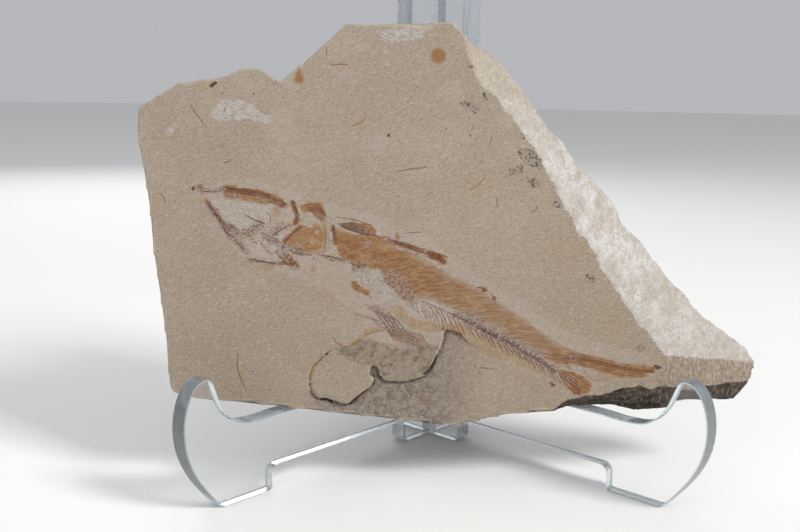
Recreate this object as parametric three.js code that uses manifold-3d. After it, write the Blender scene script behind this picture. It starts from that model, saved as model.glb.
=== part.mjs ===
// A fossil fish slab leaning on its clear display easel.
// Millimetres, +Z up, the viewer stands on the -Y side. The origin is on the ground, where the two
// easel plates cross.

import * as THREE from 'three';
import { mergeVertices } from 'three/addons/utils/BufferGeometryUtils.js';
import Module from 'manifold-3d';

const wasm = await Module();
wasm.setup();

// ---- driving dimensions -------------------------------------------------------------------------

const SLAB_THICKNESS = 20;                       // of the laminated limestone, front face to back face
const SLAB_LEAN = THREE.MathUtils.degToRad(9.5); // the face leans back by this much
const FACE_FOOT = { y: -53.9, z: 18 };           // where the face's own zero line lies
const WALL_STEPS = 10;                           // rows of facets through the thickness

const PLATE_THICKNESS = 6;                       // quarter-inch acrylic sheet
const PLATE_TURN = Math.PI / 4;                  // each plate runs at 45 degrees to the slab
const JOINT_PLAY = 0.6;                          // halving slot's width over the sheet's thickness
const EASED_EDGE = 0.3;                          // polished edge of the sheet

const UPRIGHT_HALF = 16.2;                       // half the upright's width, measured along the sheet
const UPRIGHT_TOP = 158;
const UPRIGHT_CORNER = 5;
const ARM_UNDERSIDE = 7.6;
const CRADLE_LEVEL = 23.8;                       // the slab rests a hair above this
const CRADLE_BLEND = 12;                         // round between cradle and upright
const FOOT_CHAMFER = 1.5;
const ARCH_ROUND = 2.6;
const FRONT_FOOT = { inner: 75.4, outer: 94.5 };
const HOOK = { outermost: 107.3, outermostHeight: 25.5, top: 39.6, topReach: 99.5 };

// ---- the slab -------------------------------------------------------------------------------------
// The outline is given on the front face: across (to the right) and up. Each point also says how far
// the broken wall has run outwards when it is `reach` deep in the stone. From there to the back the
// wall tucks in or rises by `tuck`. The runs follow one another round the stone, clockwise.

const STONE_EDGE = [
  { // left side, broken square across the layers
    reach: 8, tuck: [0.8, 0.2],
    points: [
      [-81, 11.2, 0, 0], [-82.7, 13, 0, 0], [-83.4, 20, 0, 0], [-84.1, 28.5, 0.2, 0],
      [-86.3, 44, 0, 0], [-88, 55, -0.2, 0], [-89.2, 67.5, 0, 0], [-91.2, 79.5, 0.2, 0],
      [-92.2, 84.5, 0, 0], [-93.2, 91, 0, 0], [-92.8, 97.5, 0.4, -0.2],
    ],
  },
  { // top edge, with the nick
    reach: 8, tuck: [0, -1.2],
    points: [
      [-87.5, 101.4, 0, -0.2], [-81, 105.4, 0, -0.3], [-75, 106.5, 0, -0.2], [-67, 107.7, 0, 0],
      [-61.5, 110.3, 0, -0.2], [-58, 110.6, 0, 0], [-54.5, 109.6, -0.4, -0.6], [-50.7, 106.3, 0.3, -0.8],
      [-44.7, 111, 0.4, -0.4], [-37.2, 118, 0.2, -0.2], [-34.1, 120.6, 0, 0], [-30.3, 124.5, 0, 0],
      [-23.4, 124.2, 0, 0.2], [-16, 125, 0, 0], [-5.7, 125, 0, 0.2], [0, 125.8, 0, 0],
    ],
  },
  { // right side, a wide fracture that slopes outwards to the back
    reach: 16, tuck: [-1.2, -0.8],
    points: [
      [3, 125.4, 1.5, 0.2], [5.1, 122.8, 3, 1], [6.8, 121.1, 4, 1.2], [8.4, 116.2, 7.5, 4.2],
      [9.6, 111.6, 10.6, 5], [11.4, 107.5, 12.4, 4.6], [16.1, 103.5, 11.5, 4.4], [19.1, 100.1, 11, 4.2],
      [22.7, 96.1, 10.6, 3.4], [25.1, 92, 11.2, 3.2], [28.7, 88, 12.1, 3.6], [31.1, 83.4, 11.8, 4.4],
      [33.5, 78.7, 13, 5], [36.5, 74, 14.4, 5], [38.6, 68.8, 16.7, 5.8], [40.6, 67.5, 18, 2.4],
      [42.4, 62.2, 17.7, 3.2], [46, 58.7, 20, 1.7], [48.7, 54.1, 20.8, 1.4], [49.1, 51.1, 23.8, 0.4],
      [52.7, 47.7, 23.6, -0.8], [55.4, 43, 25.6, 0], [58.7, 38.9, 24.6, 0.3], [61.8, 34.2, 26.5, 0.6],
      [65.4, 30.1, 29.4, 0], [67.8, 26.6, 33.4, -0.8],
    ],
  },
  { // right end, a narrower facet under the fracture
    reach: 16, tuck: [-1.5, 0.4],
    points: [[70.2, 23.9, 34.4, -3.2], [69, 19.5, 35.2, -2.6], [66.8, 15.4, 35.2, -2.8], [65.9, 14.6, 31, -7.2]],
  },
  { // right part of the underside, where the front layers broke off higher up
    reach: 4, tuck: [0, 3.8],
    points: [
      [64.8, 14.8, 7, -8.4], [63.2, 15, 3, -9.2], [59, 13.8, 1.6, -8.2], [53, 12.3, 0.8, -5], [48, 11.4, 0.6, -4.1],
      [43.5, 11, 0.6, -4], [39.2, 10.2, 0.4, -3.4],
    ],
  },
  { // the rest of the underside, undercut towards the back
    reach: 4, tuck: [0, 4.6],
    points: [
      [35.3, 6.2, 0, -0.2], [27.8, 5.9, 0, -0.3], [21, 5.3, 0, 0], [14, 4, 0, 0], [9.9, 2.8, 0, 0.3],
      [5.7, 1.8, 0, 0.5], [-5, 2.5, 0, 0.4], [-14, 3.5, 0, 0.2], [-29.4, 5.1, 0, 0], [-44.8, 6.9, 0, 0],
      [-56, 8.2, 0, -0.4], [-70.5, 9.6, 0, -0.2],
    ],
  },
];

// How far an outline point has moved, `depth` below the face.
function wallOffset(run, point, depth) {
  const [, , outU, outV] = point;
  const opened = Math.min(1, depth / run.reach);
  const tucked = Math.max(0, (depth - run.reach) / (SLAB_THICKNESS - run.reach));
  return [outU * opened + run.tuck[0] * tucked, outV * opened + run.tuck[1] * tucked];
}

function makeSlab() {
  const runByPoint = new Map();
  const outline = [];
  for (const run of STONE_EDGE) {
    for (const point of run.points) {
      outline.push(new THREE.Vector2(point[0], point[1]));
      runByPoint.set(`${point[0]},${point[1]}`, { run, point });
    }
  }

  const geometry = new THREE.ExtrudeGeometry(new THREE.Shape(outline), {
    depth: SLAB_THICKNESS,
    steps: WALL_STEPS,
    bevelEnabled: false,
  });
  geometry.translate(0, 0, -SLAB_THICKNESS);

  // slide every row of the straight wall out to the broken one
  const position = new THREE.BufferAttribute(Float32Array.from(geometry.attributes.position.array), 3);
  for (let i = 0; i < position.count; i += 1) {
    const key = `${Number(position.getX(i).toFixed(3))},${Number(position.getY(i).toFixed(3))}`;
    const { run, point } = runByPoint.get(key);
    const [moveU, moveV] = wallOffset(run, point, -position.getZ(i));
    position.setXY(i, point[0] + moveU, point[1] + moveV);
  }
  geometry.setAttribute('position', position);
  geometry.computeVertexNormals();

  const limestone = new THREE.MeshStandardMaterial({ color: 0xb9a88e, roughness: 0.92, metalness: 0 });
  const slab = new THREE.Mesh(geometry, limestone);
  slab.name = 'fossil_slab';
  slab.rotation.x = Math.PI / 2 - SLAB_LEAN;
  slab.position.set(0, FACE_FOOT.y, FACE_FOOT.z);
  return slab;
}

// ---- the easel ------------------------------------------------------------------------------------
// One profile serves both plates: x runs forward along the sheet from the crossing, y is height.

function plateProfile() {
  const { inner, outer } = FRONT_FOOT;
  const up = UPRIGHT_HALF;
  const profile = new THREE.Shape();

  // rear foot and the arch under the arm
  profile.moveTo(up - FOOT_CHAMFER, 0);
  profile.lineTo(up, FOOT_CHAMFER);
  profile.lineTo(up, ARM_UNDERSIDE - ARCH_ROUND);
  profile.absarc(up + ARCH_ROUND, ARM_UNDERSIDE - ARCH_ROUND, ARCH_ROUND, Math.PI, Math.PI / 2, true);
  profile.lineTo(inner - ARCH_ROUND, ARM_UNDERSIDE);
  profile.absarc(inner - ARCH_ROUND, ARM_UNDERSIDE - ARCH_ROUND, ARCH_ROUND, Math.PI / 2, 0, true);

  // front foot, then the back of the hook up to its tip
  profile.lineTo(inner, FOOT_CHAMFER);
  profile.quadraticCurveTo(inner, 0, inner + FOOT_CHAMFER, 0);
  profile.lineTo(outer - FOOT_CHAMFER, 0);
  profile.quadraticCurveTo(outer, 0, outer + 0.8, 0.9);
  profile.bezierCurveTo(101, 7.6, HOOK.outermost, 15, HOOK.outermost, HOOK.outermostHeight);
  profile.bezierCurveTo(HOOK.outermost, 33, 104, HOOK.top, HOOK.topReach, HOOK.top);
  profile.bezierCurveTo(97.4, HOOK.top, 97, 38, 96.3, 36.3);

  // inside of the hook, down into the cradle and back to the upright
  profile.bezierCurveTo(94, 29.5, 91, 24.2, 84, 23.7);
  profile.quadraticCurveTo(79, 23.3, 73, CRADLE_LEVEL);
  profile.lineTo(up + CRADLE_BLEND, CRADLE_LEVEL);
  profile.absarc(up + CRADLE_BLEND, CRADLE_LEVEL + CRADLE_BLEND, CRADLE_BLEND, -Math.PI / 2, Math.PI, true);

  // upright, rounded at the top, and down its rear edge
  profile.lineTo(up, UPRIGHT_TOP - UPRIGHT_CORNER);
  profile.absarc(up - UPRIGHT_CORNER, UPRIGHT_TOP - UPRIGHT_CORNER, UPRIGHT_CORNER, 0, Math.PI / 2, false);
  profile.lineTo(UPRIGHT_CORNER - up, UPRIGHT_TOP);
  profile.absarc(
    UPRIGHT_CORNER - up, UPRIGHT_TOP - UPRIGHT_CORNER, UPRIGHT_CORNER, Math.PI / 2, Math.PI, false,
  );
  profile.lineTo(-up, FOOT_CHAMFER);
  profile.lineTo(FOOT_CHAMFER - up, 0);
  return profile;
}

function toManifold(geometry) {
  const bare = geometry.clone();
  bare.deleteAttribute('normal');
  bare.deleteAttribute('uv');
  const merged = mergeVertices(bare);
  return new wasm.Manifold(new wasm.Mesh({
    numProp: 3,
    vertProperties: Float32Array.from(merged.attributes.position.array),
    triVerts: Uint32Array.from(merged.index.array),
  }));
}

function fromManifold(solid) {
  const mesh = solid.getMesh();
  const geometry = new THREE.BufferGeometry();
  geometry.setAttribute('position', new THREE.BufferAttribute(mesh.vertProperties, 3));
  geometry.setIndex(new THREE.BufferAttribute(mesh.triVerts, 1));
  geometry.computeVertexNormals();
  return geometry;
}

// side is -1 for the plate whose hook is on the left, +1 for the right one.
function makePlate(name, side, slotFromTop) {
  const sheet = new THREE.ExtrudeGeometry(plateProfile(), {
    depth: PLATE_THICKNESS - 2 * EASED_EDGE,
    bevelEnabled: true,
    bevelThickness: EASED_EDGE,
    bevelSize: EASED_EDGE,
    bevelOffset: -EASED_EDGE,
    bevelSegments: 1,
    curveSegments: 10,
  });
  sheet.translate(0, 0, EASED_EDGE - PLATE_THICKNESS / 2);

  // the halving slot takes half the height, from the top or from the bottom
  const half = UPRIGHT_TOP / 2 + JOINT_PLAY / 2;
  const clearance = 10;
  const slot = new THREE.BoxGeometry(PLATE_THICKNESS + JOINT_PLAY, half + clearance, PLATE_THICKNESS * 2);
  const slotMiddle = (half - clearance) / 2;
  slot.translate(0, slotFromTop ? UPRIGHT_TOP - slotMiddle : slotMiddle, 0);
  const geometry = fromManifold(toManifold(sheet).subtract(toManifold(slot)));

  const acrylic = new THREE.MeshStandardMaterial({
    color: 0xe3eaec, roughness: 0.06, metalness: 0, transparent: true, opacity: 0.35,
  });
  const plate = new THREE.Mesh(geometry, acrylic);
  plate.name = name;
  plate.rotation.x = Math.PI / 2;

  const turned = new THREE.Group();
  turned.rotation.z = side < 0 ? -Math.PI / 2 - PLATE_TURN : -PLATE_TURN;
  turned.add(plate);
  return turned;
}

// ---- the object ------------------------------------------------------------------------------------

const fossil = new THREE.Group();
fossil.add(makeSlab());
fossil.add(makePlate('left_easel_plate', -1, true));
fossil.add(makePlate('right_easel_plate', 1, false));

export default fossil;
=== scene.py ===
# %% [markdown]
# # A fossil fish on its slab of limestone
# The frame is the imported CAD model: one slab and the two crossed plates of a clear easel. Everything
# below is built round it, in metres. The slab gets its broken, grainy surface and the fish; the plates
# get their polished acrylic.

# %% Load the frame
import math
import random

import bmesh
import bpy
import numpy as np
from mathutils import Matrix, Vector, kdtree, noise


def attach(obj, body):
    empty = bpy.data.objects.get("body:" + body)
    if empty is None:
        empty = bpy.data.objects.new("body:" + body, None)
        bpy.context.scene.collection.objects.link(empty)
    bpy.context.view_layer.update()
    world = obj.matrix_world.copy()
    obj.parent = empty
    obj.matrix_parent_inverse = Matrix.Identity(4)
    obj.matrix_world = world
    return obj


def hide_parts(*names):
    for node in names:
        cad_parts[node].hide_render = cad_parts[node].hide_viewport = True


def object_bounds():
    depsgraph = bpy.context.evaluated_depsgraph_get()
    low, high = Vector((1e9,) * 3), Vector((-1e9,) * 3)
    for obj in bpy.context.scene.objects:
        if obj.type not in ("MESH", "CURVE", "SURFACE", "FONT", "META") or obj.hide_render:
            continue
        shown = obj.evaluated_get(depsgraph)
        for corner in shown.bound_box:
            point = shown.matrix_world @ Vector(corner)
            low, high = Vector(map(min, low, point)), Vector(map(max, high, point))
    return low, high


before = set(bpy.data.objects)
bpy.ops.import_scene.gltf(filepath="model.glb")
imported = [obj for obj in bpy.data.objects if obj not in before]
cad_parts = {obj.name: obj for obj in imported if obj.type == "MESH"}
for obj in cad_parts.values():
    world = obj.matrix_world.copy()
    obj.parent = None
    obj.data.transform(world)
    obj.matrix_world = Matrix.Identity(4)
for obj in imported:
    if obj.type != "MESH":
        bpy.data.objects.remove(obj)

MM = 0.001
cad_box = [list(corner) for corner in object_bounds()]
print("CAD box", cad_box)

# %% [markdown]
# ## The face of the slab
# A geologist draws a fossil flat on paper: so far across, so far up. The slab leans back by 9.5
# degrees, so one matrix turns the flat drawing (across, up, out of the stone) into the leaning stone.
# Everything on the face is drawn in millimetres in that flat system.

# %% The matrix from the flat drawing to the leaning face
LEAN = math.radians(9.5)
ACROSS = Vector((1, 0, 0))
UP = Vector((0, math.sin(LEAN), math.cos(LEAN)))
OUT = ACROSS.cross(UP)
FACE_FOOT = Vector((0, -53.9, 18)) * MM
FACE = Matrix((ACROSS, UP, OUT)).transposed().to_4x4()
FACE.translation = FACE_FOOT
print("the face looks towards", [round(c, 3) for c in OUT])

# %% [markdown]
# ## Camera, light and floor
# The viewer stands in front, a little left of the middle and above it, and looks slightly down. A
# large soft lamp up on the right skims over the face, so that every scar throws a small shadow, and
# a weaker one on the left opens the shadows. The floor is one pale sheet.

# %% Camera
LENS = 45
SENSOR = 36
EYE = Vector((-25.5, -345.7, 121.7)) * MM
PITCH = math.radians(10.13)
YAW = math.radians(2.36)
ROLL = math.radians(0.97)


def camera_turn(pitch, yaw, roll):
    """The rotation of a camera that looks along +Y, turned right by yaw, down by pitch and rolled."""
    ahead = Vector((math.sin(yaw) * math.cos(pitch), math.cos(yaw) * math.cos(pitch), -math.sin(pitch)))
    right = Vector((math.cos(yaw), -math.sin(yaw), 0))
    top = right.cross(ahead)
    rolled_right = right * math.cos(roll) + top * math.sin(roll)
    rolled_top = top * math.cos(roll) - right * math.sin(roll)
    return Matrix((rolled_right, rolled_top, -ahead)).transposed()


camera = bpy.data.objects.new("camera", bpy.data.cameras.new("camera"))
camera.data.lens = LENS
camera.data.sensor_width = SENSOR
camera.data.clip_start = 0.01
camera.location = EYE
camera.rotation_euler = camera_turn(PITCH, YAW, ROLL).to_euler()
bpy.context.scene.collection.objects.link(camera)
bpy.context.scene.camera = camera
bpy.context.scene.view_settings.view_transform = "Standard"
print("camera at", [round(c, 3) for c in camera.location])

# %% Lamps and the surroundings
TARGET = Vector((0.0, -0.04, 0.075))


def softbox(name, place, size, watts, colour=(1, 1, 1)):
    """A square area lamp that looks at the slab."""
    lamp = bpy.data.lights.new(name, "AREA")
    lamp.size = size
    lamp.energy = watts
    lamp.color = colour
    obj = bpy.data.objects.new(name, lamp)
    obj.location = place
    obj.rotation_euler = (TARGET - obj.location).to_track_quat("-Z", "Y").to_euler()
    bpy.context.scene.collection.objects.link(obj)
    return obj


softbox("key_lamp", Vector((0.93, -0.72, 0.95)), 0.42, 18.5)
softbox("fill_lamp", Vector((-0.75, -0.7, 0.45)), 0.7, 2.6)
softbox("back_lamp", Vector((-0.3, 0.9, 0.6)), 0.6, 3.0)

world = bpy.data.worlds.new("studio")
bpy.context.scene.world = world
world.use_nodes = True
world.node_tree.nodes["Background"].inputs["Color"].default_value = (0.93, 0.95, 1.0, 1)
world.node_tree.nodes["Background"].inputs["Strength"].default_value = 0.5

# %% [markdown]
# ## Wiring helpers
# Each finish is a small graph of nodes. These helpers add one node at a time and return its output,
# so that a finish reads like a recipe. A length is always given in millimetres.

# %% Colours and nodes
def tint(red, green, blue):
    """A colour as a paint card gives it (0 to 255), turned into the light values that shaders mix."""
    channels = [c / 255 for c in (red, green, blue)]
    return tuple(c / 12.92 if c < 0.04 else ((c + 0.055) / 1.055) ** 2.4 for c in channels) + (1.0,)


def add(tree, kind, **settings):
    """A new node with some of its settings changed."""
    node = tree.nodes.new(kind)
    for name, value in settings.items():
        setattr(node, name, value)
    return node


def feed(tree, socket, source):
    """Sets a socket from another node's output, or from a plain value."""
    if isinstance(source, bpy.types.NodeSocket):
        tree.links.new(source, socket)
    else:
        socket.default_value = source


def maths(tree, operation, first, second=0.0):
    node = add(tree, "ShaderNodeMath", operation=operation)
    feed(tree, node.inputs[0], first)
    feed(tree, node.inputs[1], second)
    return node.outputs[0]


def times(tree, *values):
    product = values[0]
    for value in values[1:]:
        product = maths(tree, "MULTIPLY", product, value)
    return product


def between(tree, value, low, high, to_low=0.0, to_high=1.0):
    """Rises smoothly from to_low to to_high while value goes from low to high."""
    node = add(tree, "ShaderNodeMapRange", interpolation_type="SMOOTHSTEP")
    feed(tree, node.inputs["Value"], value)
    node.inputs["From Min"].default_value = low
    node.inputs["From Max"].default_value = high
    node.inputs["To Min"].default_value = to_low
    node.inputs["To Max"].default_value = to_high
    return node.outputs["Result"]


def blend(tree, amount, first, second):
    """A mix of two colours; amount 0 gives the first one."""
    node = add(tree, "ShaderNodeMix", data_type="RGBA")
    feed(tree, node.inputs[0], amount)
    feed(tree, node.inputs[6], first)
    feed(tree, node.inputs[7], second)
    return node.outputs[2]


def lay(tree, colour, *layers):
    """Lays tones over a colour. A layer gives its pattern, the value where it starts, the value where it
    is full, how strong it is there, and its tone."""
    for pattern, start, full, strength, tone in layers:
        colour = blend(tree, between(tree, pattern, start, full, 0.0, strength), colour, tint(*tone))
    return colour


def measured(tree, name):
    """A number that the mesh carries at every vertex."""
    return add(tree, "ShaderNodeAttribute", attribute_name=name).outputs["Fac"]


def place_of(tree, source=None):
    """The X, Y and Z of a point, in metres: its object coordinates, or another vector."""
    place = add(tree, "ShaderNodeSeparateXYZ")
    tree.links.new(source or add(tree, "ShaderNodeTexCoord").outputs["Object"], place.inputs[0])
    return place.outputs


# %% Noise in the flat system of the face
def face_place(tree):
    """Object coordinates turned to across, up and out of the face."""
    known = tree.nodes.get("face_place")
    if known is None:
        known = add(tree, "ShaderNodeMapping", name="face_place", vector_type="TEXTURE")
        known.inputs["Rotation"].default_value = (math.radians(90) - LEAN, 0, 0)
        coordinates = add(tree, "ShaderNodeTexCoord")
        tree.links.new(coordinates.outputs["Object"], known.inputs["Vector"])
    return known.outputs["Vector"]


def grain(tree, sizes, turn=0.0, detail=2.0, seed=0.0, place=None, rough=0.55):
    """Noise whose blotches measure `sizes` (across, up, out), turned by `turn` degrees on the face."""
    mapping = add(tree, "ShaderNodeMapping", vector_type="TEXTURE")
    mapping.inputs["Location"].default_value = (seed, seed * 0.7, seed * 0.3)
    mapping.inputs["Rotation"].default_value = (0, 0, math.radians(turn))
    mapping.inputs["Scale"].default_value = [s * MM for s in sizes]
    feed(tree, mapping.inputs["Vector"], place or face_place(tree))
    node = add(tree, "ShaderNodeTexNoise")
    node.inputs["Scale"].default_value = 1.0
    node.inputs["Detail"].default_value = detail
    node.inputs["Roughness"].default_value = rough
    tree.links.new(mapping.outputs["Vector"], node.inputs["Vector"])
    return node.outputs["Fac"]


def new_finish(name):
    """A material with its node tree and its main shader."""
    material = bpy.data.materials.new(name)
    material.use_nodes = True
    return material, material.node_tree, material.node_tree.nodes["Principled BSDF"]


def emboss(tree, shader, height, strength=1.0):
    """Bump from a height in millimetres."""
    node = add(tree, "ShaderNodeBump")
    node.inputs["Strength"].default_value = strength
    node.inputs["Distance"].default_value = MM
    feed(tree, node.inputs["Height"], height)
    tree.links.new(node.outputs["Normal"], shader.inputs["Normal"])


# %% The floor
FLOOR_RADIUS = 6.0
FLOOR_GAP = 0.2 * MM


def make_floor():
    """One large pale sheet under the easel's feet."""
    bm = bmesh.new()
    bmesh.ops.create_circle(bm, cap_ends=True, segments=96, radius=FLOOR_RADIUS)
    bmesh.ops.translate(bm, verts=bm.verts, vec=(0, 0, cad_box[0][2] - FLOOR_GAP))
    mesh = bpy.data.meshes.new("floor")
    bm.to_mesh(mesh)
    bm.free()
    floor = bpy.data.objects.new("floor", mesh)
    bpy.context.scene.collection.objects.link(floor)
    material, tree, shader = new_finish("pale_floor")
    shader.inputs["Base Color"].default_value = tint(238, 237, 234)
    shader.inputs["Roughness"].default_value = 0.7
    mesh.materials.append(material)
    return floor


make_floor()
print("floor at", round(cad_box[0][2], 4))

# %% [markdown]
# ## The blank
# The CAD slab has the right outline and the right broken sides, but its faces are large and flat. A
# copy is merged, laid flat and remeshed into a skin of small even squares. Only what looks forward
# needs the finest skin, so those squares are split once more.

# %% Cut the blank
SKIN_SIZE = 1.17 * MM
WELD = 0.001 * MM
LOOKS_FORWARD = 0.42


def flat_copy(name, node):
    """A merged copy of a CAD node, laid into the flat system of the face."""
    bm = bmesh.new()
    bm.from_mesh(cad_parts[node].data)
    bmesh.ops.remove_doubles(bm, verts=bm.verts, dist=WELD)
    bm.transform(FACE.inverted())
    mesh = bpy.data.meshes.new(name)
    bm.to_mesh(mesh)
    bm.free()
    obj = bpy.data.objects.new(name, mesh)
    bpy.context.scene.collection.objects.link(obj)
    return obj


def remeshed(obj, size):
    """Replaces the object's mesh by one of even squares."""
    skin = obj.modifiers.new("skin", "REMESH")
    skin.mode = "VOXEL"
    skin.voxel_size = size
    graph = bpy.context.evaluated_depsgraph_get()
    mesh = bpy.data.meshes.new_from_object(obj.evaluated_get(graph))
    obj.modifiers.clear()
    obj.data = mesh


def split_faces(mesh, wanted):
    """Splits every face that `wanted` accepts into four."""
    bm = bmesh.new()
    bm.from_mesh(mesh)
    bm.normal_update()
    edges = {edge for face in bm.faces if wanted(face) for edge in face.edges}
    bmesh.ops.subdivide_edges(bm, edges=list(edges), cuts=1, use_grid_fill=True)
    bm.to_mesh(mesh)
    bm.free()


slab = flat_copy("fossil_stone", "fossil_slab")
remeshed(slab, SKIN_SIZE)
split_faces(slab.data, lambda face: face.normal.z > LOOKS_FORWARD)
print("blank:", len(slab.data.polygons), "faces")

# %% [markdown]
# ## Drawing on the face
# The fish, the stains and the scars are drawn as closed outlines and as strokes. For every vertex we
# keep how deep it lies inside a drawing, in millimetres. The shader later frays that border with
# noise, so that a drawing with a dozen corners gets a crisp, natural edge.

# %% Measuring tools
DEEP = 3.0


def read_places(mesh):
    """Every vertex of the mesh as (across, up, out) in millimetres."""
    places = np.empty(len(mesh.vertices) * 3)
    mesh.vertices.foreach_get("co", places)
    return places.reshape(-1, 3) / MM


def to_segments(points, closed):
    corners = np.array(points, float)
    ends = np.roll(corners, -1, axis=0)
    return list(zip(corners, ends)) if closed else list(zip(corners, ends))[:-1]


def distance_to(points, u, v, closed):
    """The distance from each (u, v) to a line of points."""
    nearest = np.full(u.shape, 1e9)
    for (ax, ay), (bx, by) in to_segments(points, closed):
        dx, dy = bx - ax, by - ay
        along = np.clip(((u - ax) * dx + (v - ay) * dy) / (dx * dx + dy * dy), 0, 1)
        nearest = np.minimum(nearest, np.hypot(u - ax - along * dx, v - ay - along * dy))
    return nearest


def inside_of(points, u, v):
    """True where (u, v) lies inside a closed outline."""
    inside = np.zeros(u.shape, bool)
    for (ax, ay), (bx, by) in to_segments(points, True):
        if ay == by:
            continue
        crosses = (ay > v) != (by > v)
        inside ^= crosses & (u < ax + (v - ay) * (bx - ax) / (by - ay))
    return inside


def area(points):
    """A filled outline: depth inside it, negative outside."""
    def depth(u, v):
        far = distance_to(points, u, v, True)
        return np.where(inside_of(points, u, v), far, -far)
    return depth


def stroke(width, points):
    """A brush stroke of a given width."""
    return lambda u, v: width / 2 - distance_to(points, u, v, False)


def spot(radius, u0, v0):
    """A round spot."""
    return lambda u, v: radius - np.hypot(u - u0, v - v0)


def depth_in(shapes, u, v):
    """The depth inside the union of several shapes, kept within DEEP either way."""
    deepest = np.full(u.shape, -DEEP)
    for shape in shapes:
        deepest = np.maximum(deepest, shape(u, v))
    return np.minimum(deepest, DEEP)


def ripple(places, size, seed=0):
    """Smooth noise from -1 to 1; `size` is the width of a bump, one number or one for each axis."""
    scaled = places / np.array(size) + seed * 13.7
    return np.array([noise.noise(place) for place in scaled.tolist()])


def ramp(value, low, high):
    """0 below low, 1 above high, smooth between them."""
    part = np.clip((value - low) / (high - low), 0, 1)
    return part * part * (3 - 2 * part)


# %% [markdown]
# ## The backbone and the flank
# The fish lies with its head at the upper left and its tail at the lower right. The backbone is the
# one line that everything else hangs from: spines run back from it above and below, and the amber
# film of the flank lies over it.

# %% Main lines of the fish
BACKBONE = [
    (-33, 57.5), (-26, 54), (-18, 50), (-13, 45), (-7, 41.5), (-1, 38.5), (7, 34.5), (14.5, 30.5),
    (21, 27.5), (26, 24.5), (31.5, 21.5), (35.5, 18.5),
]
BACK_LINE = [
    (-34, 63), (-30.5, 61), (-26.5, 60), (-20.5, 59.5), (-16.5, 58.5), (-13.5, 57), (-9.5, 55.5),
    (-4.5, 52.5), (-0.5, 50), (3.5, 47.5), (6.5, 46.5), (11, 44.5), (13, 43), (16, 41), (19, 39),
    (22.5, 37), (25, 35.5), (28, 33), (31.5, 30.5), (35, 28), (39, 26), (42.5, 24.5),
]
FLANK_FOOT = [
    (34, 22.5), (31.5, 24), (25.5, 26.5), (21, 29), (17.5, 32), (8.5, 36), (5.5, 37), (1, 38.5),
    (-4, 40.5), (-8.5, 41), (-9.5, 39.5), (-12.5, 41), (-15, 44), (-18, 46), (-17.5, 48),
    (-19, 49.5), (-23, 50), (-27.5, 50.5), (-28.5, 52), (-30.5, 52.5), (-32, 54.5), (-33, 58),
]
FLANK = BACK_LINE + FLANK_FOOT
GILL_COVER = [
    (-48.5, 58), (-46.5, 60), (-42.5, 63), (-41, 62), (-38.5, 63.5), (-37, 62), (-36, 59.5),
    (-37, 56), (-41.5, 54.5), (-45.5, 56), (-48, 56.5),
]
SKULL_ROOF = [
    (-67, 74.5), (-63, 75), (-63, 73.8), (-59, 73.8), (-55, 73.5), (-53, 72.3), (-50.5, 72.5),
    (-50, 71.5), (-47.5, 69.5), (-47.2, 68), (-49.5, 68), (-51.5, 69.5), (-55, 69), (-58, 70),
    (-60, 70), (-62.5, 71), (-64.5, 70.5), (-66.5, 71),
]
UPPER_TAIL = [
    (31, 23.5), (37, 24.4), (42.5, 24.6), (52.5, 22.5), (54, 21.2), (60.5, 21), (67, 20.5),
    (66, 19), (61.5, 16.8), (56, 17), (50.5, 18.5), (46, 20), (41, 21), (36, 21),
]
LOWER_TAIL = [
    (35.5, 19.5), (40.5, 18.8), (43.5, 17.5), (46.5, 15), (46, 12.5), (44, 10.8), (41, 11.5),
    (39, 13.5), (36.5, 17),
]
DORSAL_FIN = [
    (-32, 63), (-28, 64), (-22.5, 63.5), (-20.5, 61.5), (-20.3, 59.3), (-25, 60.5), (-29.5, 62),
]
FIN_TUFT = [(-3.8, 55.2), (1.5, 53.5), (1, 51.5), (-0.5, 51), (-4, 53)]
print("backbone of", len(BACKBONE), "points, flank of", len(FLANK))

# %% [markdown]
# ## Colours of the fish, as drawings
# Skin and bone turned to an amber film where they are thin, to rust and to a purple brown where they
# are thick, and left a pale bloom where they flaked away. Each tone is one list of shapes.

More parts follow.
